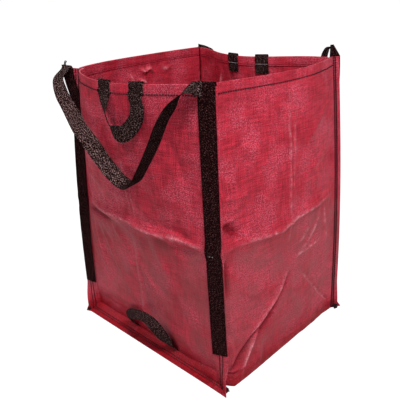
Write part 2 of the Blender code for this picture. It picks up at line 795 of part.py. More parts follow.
def back_loop_ends():
    """The back lift loop's two ends, as pairs of points, and the two ends of its joint axis."""
    top = BAG_HEIGHT + CORNERS["back_right"]["rise"] - FOLD_DROP
    inner, outer, out = strap_edges("back_right", top)
    beside = (inner + outer) / 2
    _, strap_edge, _ = strap_edges("back_left", BAG_HEIGHT)
    upper = strap_edge + Vector((0, 2 * WEBBING + GAP, CORNERS["back_left"]["rise"] - HINGE_DROP / 2))
    along = (upper - beside).normalized()
    across = Vector((0, 0, 1)).cross(along).normalized()
    across = -across if across.y < 0 else across
    skew = math.sqrt(max(1 - along.dot(out) ** 2, 0.0)) * (FOLD_HALF + WEBBING)
    pivot = beside + out * (WEBBING / 2 + GAP + skew)
    first = (pivot - across * FOLD_HALF, pivot + across * FOLD_HALF)
    last = (upper, upper - Vector((0, 0, WEBBING_WIDTH)))
    return first, last, (pivot, upper)


def build_tail(name, panel, leg, material):
    """A rim handle's sewn end: down inside the bag, over the hem and down to the hem's stitches."""
    inside = -(GAP + GAP + FABRIC + GAP + WEBBING / 2)
    outside = GAP + FABRIC + GAP + WEBBING / 2
    top = panel.top
    columns = panel.columns_between(*leg_shares(panel.wall, panel.left, panel.right, leg, BAG_HEIGHT))
    over = Vector((0, 0, outside))
    grid = {}
    plain = {}
    for i, column in enumerate(columns):
        for row, below in enumerate((2, 1, 0, 0, 1)):
            plain[i, row] = panel.points[column, top - below]
        line = [panel.raised(column, row, inside) for row in (top - 2, top - 1)]
        line.append(panel.raised(column, top, inside) + over)
        line.append(panel.raised(column, top, outside) + over)
        end = panel.raised(column, top, outside).lerp(panel.raised(column, top - 1, outside),
                                                      TAIL_OUTSIDE / HEM)
        line.append(end)
        for row, point in enumerate(line):
            grid[i, row] = point
    faces = grid_faces(grid, (0, len(columns) - 1), (0, len(line) - 1), plain)
    return closed_sheet(name, faces, -WEBBING / 2, WEBBING / 2, material)


def axis_clear_of(marks, outward):
    """The two ends of an axis in front of two sewn ends, given marks at both edges of each."""
    start = (marks[0] + marks[1]) / 2
    end = (marks[2] + marks[3]) / 2
    along = (end - start).normalized()
    away = (outward - along * outward.dot(along)).normalized()
    short = max((mark - start).dot(away) for mark in marks)
    return start + away * short, end + away * short


def handle_axis(panel, legs):
    """The two ends of a rim handle's axis, in front of its sewn ends."""
    marks = []
    stand_off = GAP + FABRIC + GAP + WEBBING / 2 + HINGE_STANDOFF
    share = (TAIL_OUTSIDE - HINGE_DROP) / HEM
    for leg in legs:
        columns = panel.columns_between(*leg_shares(panel.wall, panel.left, panel.right, leg, BAG_HEIGHT))
        for column in (columns[0], columns[-1]):
            high = panel.raised(column, panel.top, stand_off)
            marks.append(high.lerp(panel.raised(column, panel.top - 1, stand_off), share))
    return axis_clear_of(marks, panel.out)


def build_arch(name, axis, drop, standoff, turn_start, outward, material):
    """A plain handle whose webbing stands edge-on to the wall at its far end."""
    start, end = axis
    along = (end - start).normalized()
    half = WEBBING_WIDTH / 2
    pairs = [(start - along * half, start + along * half)]
    samples = 10
    for i in range(1, samples):
        angle = math.pi * i / samples
        share = (1 - math.cos(angle)) / 2
        depth = math.sin(angle) ** 0.8
        lean = outward * (half * smooth((depth - turn_start) * 2) + standoff * depth)
        middle = start.lerp(end, share) + Vector((0, 0, drop * depth)) + lean
        edge_on = smooth((math.sin(angle) - turn_start) * 1.6)
        across = (along * (1 - edge_on) + outward * edge_on).normalized()
        if angle > math.pi / 2:
            across = (-along * (1 - edge_on) + outward * edge_on).normalized()
        pairs.append((middle - across * half, middle + across * half))
    pairs.append((end + along * half, end - along * half))
    return build_loop(name, pairs, axis, material, steps=2)


def build_tuck(name, panel, leg, material):
    """A bottom handle's sewn end, under the folded margin and up to the loop."""
    stand_off = GAP + FABRIC + GAP + WEBBING / 2
    columns = panel.columns_between(*leg_shares(panel.wall, panel.left, panel.right, leg, KICK_HEIGHT))
    grid = {}
    for i, column in enumerate(columns):
        seam = panel.raised(column, panel.SEAM, stand_off)
        lap = panel.raised(column, panel.LAP, stand_off)
        above = panel.raised(column, panel.LAP + 1, stand_off)
        grid[i, 0] = lap + (seam - lap).normalized() * TUCK
        grid[i, 1] = lap
        grid[i, 2] = lap + (above - lap).normalized() * TUCK_RISE
    faces = grid_faces(grid, (0, len(columns) - 1), (0, 2))
    return closed_sheet(name, faces, -WEBBING / 2, WEBBING / 2, material)


def tuck_axis(panel, legs):
    """The two ends of the bottom handle's axis, in front of its sewn ends' tops."""
    stand_off = GAP + FABRIC + GAP + WEBBING / 2 + HINGE_STANDOFF
    marks = []
    for leg in legs:
        columns = panel.columns_between(*leg_shares(panel.wall, panel.left, panel.right, leg, KICK_HEIGHT))
        for column in (columns[0], columns[-1]):
            lap = panel.raised(column, panel.LAP, stand_off)
            above = panel.raised(column, panel.LAP + 1, stand_off)
            marks.append(lap + (above - lap).normalized() * (TUCK_RISE - WEBBING / 2))
    return axis_clear_of(marks, panel.out)


def wall_hem_thread(panel, material):
    """The hem's stitches on the front or back panel, just below the sewn ends of its handle."""
    clear = GAP + FABRIC + GAP + THREAD / 2
    columns = range(panel.LAP + 1, panel.last - panel.LAP)
    points = [panel.raised(column, panel.top - 1, clear) for column in columns]
    return tube_along(panel.wall + "_hem_thread", points, THREAD / 2, material)


def side_hem_thread(wall, front, back, material):
    """The hem's stitches on a side wall, between its two seams."""
    sign = -1 if wall == "left" else 1
    start, end = front["seam"], back["seam"]
    places = [bulged(wall, start, end, i / SIDE_COLUMNS, sign) for i in range(SIDE_COLUMNS + 1)]
    points = []
    for i in range(1, SIDE_COLUMNS):
        before = (places[i] - places[i - 1]).normalized()
        after = (places[i + 1] - places[i]).normalized()
        run = (before + after).normalized()
        out = Vector((run.y, -run.x, 0)).normalized() * sign
        points.append(places[i] + out * ((FABRIC + GAP + THREAD / 2) / before.dot(run)))
    return tube_along(wall + "_hem_thread", points, THREAD / 2, material)


def main():
    for item in list(bpy.data.objects):
        bpy.data.objects.remove(item, do_unlink=True)
    fabric = make_material("woven_fabric", (0.42, 0.045, 0.065), 0.45)
    webbing = make_material("webbing", (0.022, 0.014, 0.014), 0.85)
    thread = make_material("thread", (0.03, 0.012, 0.014), 0.8)

    front_ends = ("front_left", "front_right")
    back_ends = ("back_right", "back_left")
    front_panel = Panel("front", *front_ends, MARGIN, FRONT_HANDLE_LEGS, BOTTOM_HANDLE_LEGS)
    back_panel = Panel("back", *back_ends, MARGIN, BACK_HANDLE_LEGS, BACK_FLOOR_LEGS)
    inner = MARGIN - FOLD_CLEARANCE
    front_cut = Panel("front", *front_ends, inner, FRONT_HANDLE_LEGS, BOTTOM_HANDLE_LEGS, front_panel)
    back_cut = Panel("back", *back_ends, inner, BACK_HANDLE_LEGS, BACK_FLOOR_LEGS, back_panel)
    build_panel(front_cut, front_panel, fabric)
    build_panel(back_cut, back_panel, fabric)
    front = margin_rungs(front_panel, BOTTOM_HANDLE_LEGS)
    back = list(reversed(margin_rungs(back_panel, ())))
    build_u_panel(front, back, fabric)

    for wall, rungs in (("front", front), ("back", back)):
        seam_thread(wall + "_seam_inner_thread", rungs, "over_seam", "lift_seam", thread)
        seam_thread(wall + "_seam_outer_thread", rungs, "over_row", "lift_row", thread)

    for corner in CORNERS:
        build_strap(corner, webbing)

    front_axis = lift_axis("front_left", "front_right")
    along = (front_axis[1] - front_axis[0]).normalized()
    pairs = [loop_end(front_axis[0], along)]
    pairs += [in_front(pair, front_ends, LOOP_CLEARANCE) for pair in FRONT_LIFT_LOOP]
    pairs.append(tuple(reversed(loop_end(front_axis[1], along))))
    build_loop("front_lift_loop", pairs, front_axis, webbing, steps=2)
    first, last, back_axis = back_loop_ends()
    build_loop("back_lift_loop", [first, *BACK_LIFT_LOOP, last], back_axis, webbing, steps=2)

    for panel, legs in ((front_panel, FRONT_HANDLE_LEGS), (back_panel, BACK_HANDLE_LEGS)):
        build_tail(panel.wall + "_rim_handle_left_tail", panel, legs[0], webbing)
        build_tail(panel.wall + "_rim_handle_right_tail", panel, legs[1], webbing)
        wall_hem_thread(panel, thread)
    axis = handle_axis(front_panel, FRONT_HANDLE_LEGS)
    along = (axis[1] - axis[0]).normalized()
    pairs = [loop_end(axis[0], along)] + FRONT_HANDLE
    pairs.append(tuple(reversed(loop_end(axis[1], along))))
    build_loop("front_rim_handle", pairs, axis, webbing, steps=2)
    axis = handle_axis(back_panel, BACK_HANDLE_LEGS)
    build_arch("back_rim_handle", axis, -BACK_HANDLE_DROP, BACK_HANDLE_STANDOFF, BACK_TURN_START,
               Vector((0, 1, 0)), webbing)
    hem_row = 1
    side_hem_thread("left", front[hem_row], back[hem_row], thread)
    side_hem_thread("right", front[-1 - hem_row], back[-1 - hem_row], thread)

    build_tuck("bottom_handle_left_end", front_panel, BOTTOM_HANDLE_LEGS[0], webbing)
    build_tuck("bottom_handle_right_end", front_panel, BOTTOM_HANDLE_LEGS[1], webbing)
    axis = tuck_axis(front_panel, BOTTOM_HANDLE_LEGS)
    build_arch("bottom_handle", axis, BOTTOM_HANDLE_RISE, BOTTOM_HANDLE_STANDOFF, BOTTOM_TURN_START,
               Vector((0, -1, 0)), webbing)


main()
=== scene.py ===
"""Garden waste bag: creased woven panels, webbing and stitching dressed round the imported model."""
import json
import math

import bpy
import numpy as np
from mathutils import Matrix, Vector, noise


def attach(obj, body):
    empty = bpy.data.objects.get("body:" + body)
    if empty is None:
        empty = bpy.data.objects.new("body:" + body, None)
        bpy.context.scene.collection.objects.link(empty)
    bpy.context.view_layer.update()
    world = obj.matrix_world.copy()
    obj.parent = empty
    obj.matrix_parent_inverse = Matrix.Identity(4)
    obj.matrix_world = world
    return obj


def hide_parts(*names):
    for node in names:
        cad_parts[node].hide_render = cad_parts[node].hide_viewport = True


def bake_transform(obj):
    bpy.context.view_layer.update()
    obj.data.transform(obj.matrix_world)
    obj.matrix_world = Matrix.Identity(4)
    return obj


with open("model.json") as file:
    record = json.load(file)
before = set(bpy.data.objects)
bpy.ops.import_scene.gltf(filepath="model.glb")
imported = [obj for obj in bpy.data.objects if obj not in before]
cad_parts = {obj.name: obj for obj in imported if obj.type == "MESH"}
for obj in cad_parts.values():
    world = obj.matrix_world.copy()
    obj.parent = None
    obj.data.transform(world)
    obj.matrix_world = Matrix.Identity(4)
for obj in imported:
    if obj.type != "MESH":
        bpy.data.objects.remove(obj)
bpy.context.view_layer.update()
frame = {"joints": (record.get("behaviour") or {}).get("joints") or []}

# ---------------------------------------------------------------- the bag's shape, as in the CAD
BAG_HEIGHT = 0.740
BASE_WIDTH, BASE_DEPTH = 0.530, 0.482
RIM_WIDTH, RIM_DEPTH = 0.472, 0.490
CAD_FABRIC = 0.0009
WEBBING = 0.0015
WEBBING_WIDTH = 0.038
MARGIN, LAP, STITCH_SPACING = 0.022, 0.018, 0.008
KICK_HEIGHT, CORNER_KICK, TURN_HEIGHT = 0.016, 0.018, 0.098
HEM = 0.020
STRAP_START, STRAP_FLARE, FLARE_HEIGHT = 0.098, 0.032, 0.110
TAIL_INSIDE, TAIL_OUTSIDE = 0.050, 0.018
TUCK_RISE = 0.006
LOW_ROW = 0.046

# Lengths in metres and headings in degrees: where a seam leans and bows, where its margin points at
# the floor and above, how far the corner's tip sticks out, and how its strap flares, rises and narrows
PLAIN_CORNER = {"tip": 0.032, "kick": 0.0, "flare": 0.0, "rise": 0.0, "narrow": 1.0}
CORNERS = {
    "front_left": {
        **PLAIN_CORNER, "sign": (-1, -1), "base_lean": (0.003, -0.017), "rim_lean": (0.020, 0.009),
        "bow": -0.021, "floor_heading": 252, "heading": 194, "tip": 0.030, "flare": STRAP_FLARE,
    },
    "front_right": {
        **PLAIN_CORNER, "sign": (1, -1), "base_lean": (-0.009, 0.012), "rim_lean": (-0.001, 0.014),
        "bow": -0.004, "floor_heading": -32, "heading": 26, "tip": 0.040, "kick": CORNER_KICK,
    },
    "back_right": {
        **PLAIN_CORNER, "sign": (1, 1), "base_lean": (0.011, -0.005), "rim_lean": (-0.019, 0.005),
        "bow": 0.010, "floor_heading": 60, "heading": 78, "flare": 0.006, "rise": 0.030, "narrow": 0.30,
    },
    "back_left": {
        **PLAIN_CORNER, "sign": (-1, 1), "base_lean": (0.003, -0.001), "rim_lean": (-0.044, 0.011),
        "bow": -0.004, "floor_heading": 120, "heading": 150, "flare": 0.010, "rise": 0.008,
    },
}
WALLS = {
    "front": {"bulge": 0.062, "peak": 0.37, "power": 1.0, "sag": 0.008, "belly": 0.004, "base": 0.0},
    "right": {"bulge": 0.028, "peak": 0.66, "power": 1.0, "sag": 0.004, "belly": 0.010, "base": 0.027},
    "back": {"bulge": -0.056, "peak": 0.58, "power": 1.6, "sag": 0.007, "belly": 0.008, "base": 0.0},
    "left": {"bulge": 0.044, "peak": 0.44, "power": 1.0, "sag": 0.002, "belly": 0.006, "base": 0.006},
}
FRONT_HANDLE_LEGS = (-0.016, 0.078)
BACK_HANDLE_LEGS = (0.026, -0.069)
BOTTOM_HANDLE_LEGS = (-0.086, 0.076)

# How the visible layers stack on the joint surface, the surface where two cuts of fabric meet
FABRIC = 0.0007
SLIT = 0.0002
PANEL_LAYER = SLIT + FABRIC / 2
OVER_LAYER = SLIT + FABRIC + SLIT + FABRIC / 2
OVER_TOP = OVER_LAYER + FABRIC / 2
TAPE_THICKNESS = 0.0016

# Mesh spacing
WALL_COLUMNS, WALL_ROWS, SIDE_COLUMNS = 132, 176, 128


def smooth(value):
    """A soft step from 0 to 1."""
    value = np.clip(value, 0.0, 1.0)
    return value * value * (3 - 2 * value)


def unit(vectors):
    """Vectors scaled to length one."""
    return vectors / np.maximum(np.linalg.norm(vectors, axis=-1, keepdims=True), 1e-12)


def distances(points):
    """How far each point of a line, or each row of a grid, lies from the first."""
    steps = np.linalg.norm(np.diff(points, axis=0), axis=-1)
    return np.concatenate([np.zeros_like(steps[:1]), np.cumsum(steps, axis=0)])


def seam_points(corner, z):
    """Points of a corner's seam at heights z."""
    data = CORNERS[corner]
    z = np.asarray(z, float)
    up = z / BAG_HEIGHT
    half_base = (BASE_WIDTH / 2, BASE_DEPTH / 2)
    half_rim = (RIM_WIDTH / 2, RIM_DEPTH / 2)
    place = []
    for axis in (0, 1):
        base = data["sign"][axis] * half_base[axis] + data["base_lean"][axis]
        rim = data["sign"][axis] * half_rim[axis] + data["rim_lean"][axis]
        place.append(base + (rim - base) * up)
    place[0] = place[0] + data["bow"] * np.sin(math.pi * up)
    return np.stack([place[0], place[1], np.maximum(z, CAD_FABRIC)], -1)


def seam_headings(corner, z):
    """The way a corner's margin points at heights z."""
    data = CORNERS[corner]
    turn = smooth(np.asarray(z, float) / TURN_HEIGHT)
    angle = np.radians(data["floor_heading"] + (data["heading"] - data["floor_heading"]) * turn)
    return np.stack([np.cos(angle), np.sin(angle), np.zeros_like(angle)], -1)


def wall_bulge(wall, along, z):
    """How far a wall stands out from the straight line between its seams."""
    data = WALLS[wall]
    up = z / BAG_HEIGHT
    skewed = np.clip(along, 0, 1) ** (math.log(0.5) / math.log(data["peak"]))
    arch = np.maximum(np.sin(math.pi * skewed), 0) ** data["power"]
    middle = np.sin(math.pi * np.clip(along, 0, 1))
    rim = data["bulge"] * arch * smooth((up - 0.25) / 0.75)
    belly = data["belly"] * middle * np.sin(math.pi * np.clip(up, 0, 1))
    base = data["base"] * smooth(along / 0.055) * (1 - along) * (1 - up) ** 2
    return rim + belly + base


def wall_sag(wall, along, z):
    """How far a point of a wall hangs below its row's height."""
    return WALLS[wall]["sag"] * np.sin(math.pi * along) ** 2 * smooth((z / BAG_HEIGHT - 0.6) / 0.4)


# ---------------------------------------------------------------- creases and wrinkles
# Folds of each wall: how high the fold stands in tenths of a millimetre (negative where it dips), its
# half width in millimetres, how sharp its top is, and its points as thousandths of the wall's width
# and millimetres of height
FOLDS = {
    "front": [
        (52, 16, 1.0, (0, 388), (100, 384), (200, 377), (330, 383), (450, 384), (530, 373), (700, 375),
         (800, 377), (920, 374), (1000, 372)),
        (-30, 12, 0.4, (0, 352), (100, 356), (200, 356), (320, 362)),
        (12, 4, 1.0, (200, 362), (440, 372)),
        (-22, 13, 0.5, (580, 366), (720, 356), (900, 358), (990, 362)),
        (26, 8, 0.9, (700, 381), (800, 384), (920, 381), (1000, 378)),
        (-20, 12, 0.4, (560, 398), (740, 402), (950, 396)),
        (18, 6, 1.0, (510, 710), (515, 560), (505, 430), (500, 385)),
        (12, 4, 1.0, (535, 500), (525, 385)),
        (16, 9, 0.8, (490, 370), (475, 250), (470, 120), (470, 50)),
        (30, 10, 0.4, (10, 335), (60, 285), (110, 225), (150, 165)),
        (24, 8, 0.5, (80, 320), (120, 260), (150, 210)),
        (24, 9, 0.4, (130, 330), (200, 280), (270, 215), (310, 170)),
        (14, 6, 0.5, (360, 255), (400, 243), (470, 236)),
        (18, 8, 0.5, (500, 262), (540, 225), (600, 195)),
        (14, 11, 0.3, (280, 350), (380, 300), (440, 250)),
        (12, 13, 0.3, (630, 345), (700, 280), (740, 200)),
        (12, 14, 0.3, (20, 500), (120, 470), (260, 455)),
        (-18, 16, 0.2, (800, 640), (880, 560), (930, 480)),
        (12, 12, 0.3, (100, 120), (260, 100), (450, 108)),
        (-14, 10, 0.3, (50, 60), (200, 52), (360, 62)),
    ],
    "right": [
        (20, 5, 1.0, (510, 730), (510, 630), (515, 480), (520, 372), (525, 262)),
        (14, 4, 1.0, (545, 730), (548, 560), (548, 385)),
        (46, 17, 1.0, (0, 372), (60, 370), (140, 371), (210, 373), (330, 366), (450, 362), (510, 371),
         (570, 378), (700, 380), (840, 382), (1000, 380)),
        (-56, 13, 0.4, (40, 425), (90, 420), (130, 400), (150, 385)),
        (16, 8, 0.5, (50, 496), (150, 488), (260, 480)),
        (16, 7, 0.5, (50, 468), (120, 462), (180, 458)),
        (14, 6, 0.5, (60, 438), (150, 436)),
        (18, 6, 0.8, (830, 350), (750, 307), (685, 283), (610, 265)),
        (14, 6, 0.8, (720, 340), (650, 305), (600, 290)),
        (18, 6, 0.8, (860, 268), (740, 264), (635, 263), (530, 258)),
        (16, 7, 0.8, (860, 372), (875, 310), (900, 250)),
        (42, 9, 0.9, (530, 252), (490, 225), (450, 198), (385, 173), (290, 145), (190, 110), (105, 77)),
        (-36, 9, 0.4, (550, 238), (510, 208), (460, 180), (400, 150), (300, 115), (200, 80)),
        (-26, 5, 0.8, (600, 215), (680, 182), (790, 120), (940, 43), (990, 12)),
        (-56, 10, 0.3, (300, 138), (190, 100), (90, 64), (0, 30)),
        (40, 8, 0.8, (270, 116), (180, 78), (120, 42), (85, 6)),
        (18, 10, 0.4, (300, 100), (260, 60), (250, 12)),
        (-36, 12, 0.3, (0, 30), (40, 20), (90, 8)),
        (-26, 8, 0.4, (35, 235), (40, 160), (60, 120)),
        (-48, 10, 0.4, (60, 350), (50, 290), (50, 240)),
        (14, 12, 0.3, (640, 560), (750, 600), (880, 640)),
        (14, 11, 0.3, (620, 460), (760, 505), (900, 520)),
        (10, 12, 0.3, (140, 600), (280, 585), (420, 590)),
        (12, 13, 0.3, (200, 330), (320, 300), (450, 300)),
        (12, 11, 0.3, (150, 250), (260, 215), (360, 215)),
    ],
    "back": [
        (46, 16, 1.0, (0, 374), (200, 378), (350, 370), (500, 376), (700, 372), (850, 378), (1000, 374)),
        (18, 6, 1.0, (500, 700), (505, 540), (500, 380)),
        (18, 8, 0.8, (500, 370), (510, 220), (500, 50)),
        (22, 10, 0.4, (30, 340), (140, 280), (220, 200)),
        (22, 10, 0.4, (970, 335), (880, 270), (800, 190)),
        (16, 10, 0.4, (600, 300), (700, 240), (760, 180)),
        (14, 12, 0.3, (200, 560), (300, 500), (360, 430)),
        (16, 12, 0.3, (720, 600), (660, 520), (600, 450)),
        (34, 7, 0.6, (600, 700), (630, 640), (655, 560)),
        (-34, 8, 0.6, (700, 700), (740, 640), (760, 570)),
        (20, 8, 0.5, (380, 700), (360, 630), (330, 570)),
        (20, 9, 0.4, (220, 690), (200, 620), (180, 560)),
        (12, 12, 0.3, (100, 120), (300, 95), (520, 105)),
    ],
    "left": [
        (44, 16, 1.0, (0, 374), (160, 379), (330, 372), (500, 376), (660, 370), (820, 378), (1000, 374)),
        (18, 6, 1.0, (500, 715), (498, 560), (500, 380)),
        (18, 8, 0.8, (500, 370), (495, 220), (500, 50)),
        (24, 10, 0.4, (40, 345), (120, 270), (200, 190)),
        (22, 10, 0.4, (960, 350), (860, 280), (780, 210)),
        (14, 11, 0.3, (300, 330), (380, 260), (420, 180)),
        (-46, 6, 0.5, (430, 700), (460, 672), (440, 640), (490, 610)),
        (-46, 6, 0.5, (520, 706), (560, 690), (600, 700), (630, 680)),
        (-46, 6, 0.5, (500, 672), (560, 660), (580, 640), (650, 632)),
        (-20, 6, 0.5, (680, 706), (720, 690), (780, 694)),
        (-18, 7, 0.5, (600, 620), (660, 600), (720, 604)),
        (-18, 7, 0.5, (400, 600), (470, 570), (540, 576)),
        (14, 12, 0.3, (200, 520), (300, 470), (420, 455)),
    ],
}
FOLD_GAIN = 2.3
WALL_WIDTHS = {"front": 0.50, "right": 0.47, "back": 0.50, "left": 0.49}


def folds_of(wall):
    """Each fold of a wall: its line, height and half width in metres, and its sharpness."""
    width = WALL_WIDTHS[wall]
    for height, half_width, sharp, *points in FOLDS[wall]:
        line = [(share / 1000 * width, level / 1000) for share, level in points]
        yield line, height / 10000, half_width / 1000, sharp


def fold_height(x, z, points, half_width, sharp):
    """The height of one fold at wall places x and z, for a fold one high along its line."""
    best = np.full(x.shape, 9.0)
    share = np.zeros(x.shape)
    total = 0.0
    for (x0, z0), (x1, z1) in zip(points, points[1:]):
        dx, dz = x1 - x0, z1 - z0
        length = math.hypot(dx, dz)
        t = np.clip(((x - x0) * dx + (z - z0) * dz) / (length * length), 0, 1)
        distance = np.hypot(x - x0 - t * dx, z - z0 - t * dz)
        nearer = distance < best
        best = np.where(nearer, distance, best)
        share = np.where(nearer, total + t * length, share)
        total += length
    ends = np.minimum(share, total - share)
    taper = smooth(ends / max(0.35 * total, 1e-6) + 0.12)
    scaled = best / half_width
    round_top = np.exp(-scaled * scaled)
    peak = np.exp(-1.9 * (np.sqrt(scaled * scaled + 0.10) - 0.316))
    return (round_top * (1 - sharp) + peak * sharp) * taper


def soft_noise(x, z, scale_x, scale_z, seed):
    """Smooth noise over a wall, from -1 to 1."""
    flat_x, flat_z = np.ravel(x) / scale_x, np.ravel(z) / scale_z
    values = [noise.noise(Vector((a, b, seed))) for a, b in zip(flat_x, flat_z)]
    return np.array(values).reshape(np.shape(x))


SEEDS = {"front": 3.1, "right": 7.7, "back": 12.3, "left": 19.9}
WRINKLES = (
    # height, lean, sizes across and up, seed, and whether the film ridges where the noise changes sign
    (0.0026, 0.0, 0.110, 0.130, 0, False),
    (0.0014, 0.0, 0.045, 0.060, 31, False),
    (0.0022, 0.3, 0.085, 0.110, 91, True),
    (0.0008, -0.4, 0.034, 0.046, 97, True),
    (0.0004, 0.35, 0.014, 0.040, 57, False),
)
# The puckers along the hem's stitches: their height and reach
PUCKER, PUCKER_REACH = 0.0007, 0.011
# The relief fades towards a wall's sides, foot and rim over these distances
SIDE_FADE, FOOT_FADE, RIM_FADE = 0.030, 0.035, 0.060
# Folds at least this sharp whiten the film, with a painted highlight (less sharp ones inside the bag, near
# the rim, get a painted glare), over these half widths, in full from this height on. Lower dips than this get
# painted shade.
WHITENING_AND_HIGHLIGHT, PAINTED_GLARE, NEAR_RIM = 0.8, 0.5, 0.59
WHITENING_AND_HIGHLIGHT_WIDTH, PAINTED_GLARE_WIDTH, FULL_WHITENING_AND_HIGHLIGHT = 0.0045, 0.0065, 0.0018
DEEP_DIP = -0.0030


def relief(wall, along, z):
    """How far the creases and wrinkles move a wall outward, in metres."""
    along, z = np.broadcast_arrays(np.asarray(along, float), np.asarray(z, float))
    width, seed = WALL_WIDTHS[wall], SEEDS[wall]
    x = along * width
    total = np.zeros(x.shape)
    for line, height, half_width, sharp in folds_of(wall):
        total += FOLD_GAIN * height * fold_height(x, z, line, half_width, sharp)
    for height, lean, size_across, size_up, number, ridged in WRINKLES:
        layer = soft_noise(x + lean * z, z, size_across, size_up, seed + number)
        total += height * (0.5 - 2.4 * np.abs(layer) if ridged else layer)
    pucker = np.exp(-((z - (BAG_HEIGHT - HEM)) / PUCKER_REACH) ** 2)
    total += PUCKER * pucker * soft_noise(x, z, 0.010, 0.050, seed + 71)
    sides = smooth(np.minimum(along, 1 - along) * width / SIDE_FADE)
    level_foot = 0.5 if wall in ("left", "right") else 0.0
    foot = level_foot + (1 - level_foot) * smooth((z - 0.004) / FOOT_FADE)
    rim = 0.35 + 0.65 * smooth((BAG_HEIGHT - z) / RIM_FADE)
    return total * sides * foot * rim


def fold_whitening_and_painted_light(wall, along, z):
    """How much the film turns white along a wall's sharp folds, with a painted highlight on them, from 0 to
    1.

    Below 0 it is how much painted shade darkens a dip.
    """
    along, z = np.broadcast_arrays(np.asarray(along, float), np.asarray(z, float))
    width = WALL_WIDTHS[wall]
    x = along * width
    total, painted_dip_shade = np.zeros(x.shape), np.zeros(x.shape)
    seen_inside = wall in ("left", "back")
    for line, height, half_width, sharp in folds_of(wall):
        (start_x, start_z), end_z = line[0], line[-1][1]
        if height <= DEEP_DIP and not seen_inside:
            painted_dip_shade = np.maximum(painted_dip_shade, fold_height(x, z, line, half_width * 0.9, 0.2))
        if sharp < WHITENING_AND_HIGHLIGHT and not (seen_inside and sharp >= PAINTED_GLARE and start_z > NEAR_RIM):
            continue
        upright = 1.0
        if abs(end_z - start_z) > 0.25 and start_x > 0.4 * width:
            upright = 0.8 if wall == "right" else 0.5
        strength = upright * min(abs(height) / FULL_WHITENING_AND_HIGHLIGHT, 1.0)
        mark_width = WHITENING_AND_HIGHLIGHT_WIDTH if sharp >= WHITENING_AND_HIGHLIGHT else PAINTED_GLARE_WIDTH
        total = np.maximum(total, fold_height(x, z, line, mark_width, 0.0) * strength)
    broken = 0.62 + 0.9 * soft_noise(x, z, 0.012, 0.012, SEEDS[wall] + 83)
    whitening_and_painted_light = np.clip(total, 0, 1) * np.clip(broken, 0.1, 1.0)
    return whitening_and_painted_light - np.clip(1.3 * painted_dip_shade, 0, 1) * (1 - np.clip(total * 1.5, 0, 1))


def bulged(wall, start, end, along, sign=1, relieved=True):
    """Points between two seam points, pushed out by the wall's bulge and its creases."""
    chord = end - start
    point = start + chord * along[..., None]
    outward = unit(np.stack([chord[..., 1], -chord[..., 0], np.zeros_like(chord[..., 0])], -1)) * sign
    z = point[..., 2]
    push = wall_bulge(wall, along, z)
    if relieved:
        push = push + relief(wall, along, z)
    point = point + outward * push[..., None]
    point[..., 2] -= wall_sag(wall, along, z)
    return point


def margin_reach(ring):
    """How far out from the seam a ring of the margin lies."""
    return np.interp(ring, (0, 1, 2, 3), (MARGIN, STITCH_SPACING, 0.0, -LAP))


class Panel:
    """The joint surface of the front or back panel, over a column and a row coordinate.

    Column and row run from 0 at the margin's free edge, past 1 at the outer stitches and 2 at the
    seam, to 3 at the lap's end. Columns go on from 3 to 4 across the panel and to 7 at the other
    free edge. Rows go on from 3 upward by metres of height.
    """

    def __init__(self, wall, left, right):
        self.wall, self.left, self.right = wall, left, right
        self.out = np.array([0.0, -1.0 if wall == "front" else 1.0, 0.0])

    def kick(self, share):
        """The height at which the panel's lap ends above the floor."""
        left = CORNERS[self.left]["kick"] * smooth(1 - share / 0.25)
        right = CORNERS[self.right]["kick"] * smooth((share - 0.75) / 0.25)
        return KICK_HEIGHT + left + right

    def wall_points(self, share, z, relieved=True):
        """Points of the panel at shares of its width and heights."""
        start = seam_points(self.left, z) - seam_headings(self.left, z) * LAP
        end = seam_points(self.right, z) - seam_headings(self.right, z) * LAP
        return bulged(self.wall, start, end, share, 1, relieved)

    def beside(self, values, left_side, function):
        """A corner function taken at the left or the right corner."""
        return np.where(left_side[..., None], function(self.left, values), function(self.right, values))

    def floor_points(self, share, ring):
        """Points of the margin along the floor."""
        zero = np.zeros_like(share)
        start, end = seam_points(self.left, zero), seam_points(self.right, zero)
        above = self.wall_points(share, self.kick(share), False)
        t = (above[..., 0] - start[..., 0]) / (end[..., 0] - start[..., 0])
        return start + (end - start) * t[..., None] + self.out * margin_reach(ring)[..., None]

    def tip_points(self, ring, left_side):
        """Points of the mitre line at a bottom corner."""
        zero = np.zeros_like(ring)
        tips = np.where(left_side, CORNERS[self.left]["tip"], CORNERS[self.right]["tip"])
        reach = margin_reach(ring) / MARGIN * tips
        base = self.beside(zero, left_side, seam_points)
        return base + self.beside(zero, left_side, seam_headings) * reach[..., None]

    def place(self, column, row):
        """Points of the joint surface."""
        column, row = (np.array(v, float) for v in np.broadcast_arrays(column, row))
        left_side = column < 3.5
        inset = np.where(left_side, column, 7 - column)
        share = np.clip(column - 3, 0, 1)
        kick = self.kick(share)
        level = np.maximum(row - 3, 0)
        z = np.where(level < LOW_ROW, kick + (LOW_ROW - kick) * level / LOW_ROW, level)
        by_seam = self.beside(z, left_side, seam_points)
        by_seam = by_seam + self.beside(z, left_side, seam_headings) * margin_reach(inset)[..., None]
        upper = np.where((inset >= 3)[..., None], self.wall_points(share, z), by_seam)
        ring = np.minimum(row, 2.0)
        edge_share = np.where(left_side, 0.0, 1.0)
        floor = self.floor_points(np.where(inset >= 3, share, edge_share), ring)
        tip = self.tip_points(np.minimum(np.minimum(inset, 2.0), ring), left_side)
        lower = tip + (floor - tip) * np.clip(inset - 2, 0, 1)[..., None]
        rising = np.clip(row - 2, 0, 1)[..., None]
        return lower + (upper - lower) * rising


def weld_index(points):
    """For a grid of points, the index of each one's first copy and the unique points."""
    flat = points.reshape(-1, 3)
    keys = np.round(flat / 2e-6).astype(np.int64)
    _, first, inverse = np.unique(keys, axis=0, return_index=True, return_inverse=True)
    return inverse.reshape(points.shape[:-1]), flat[first]


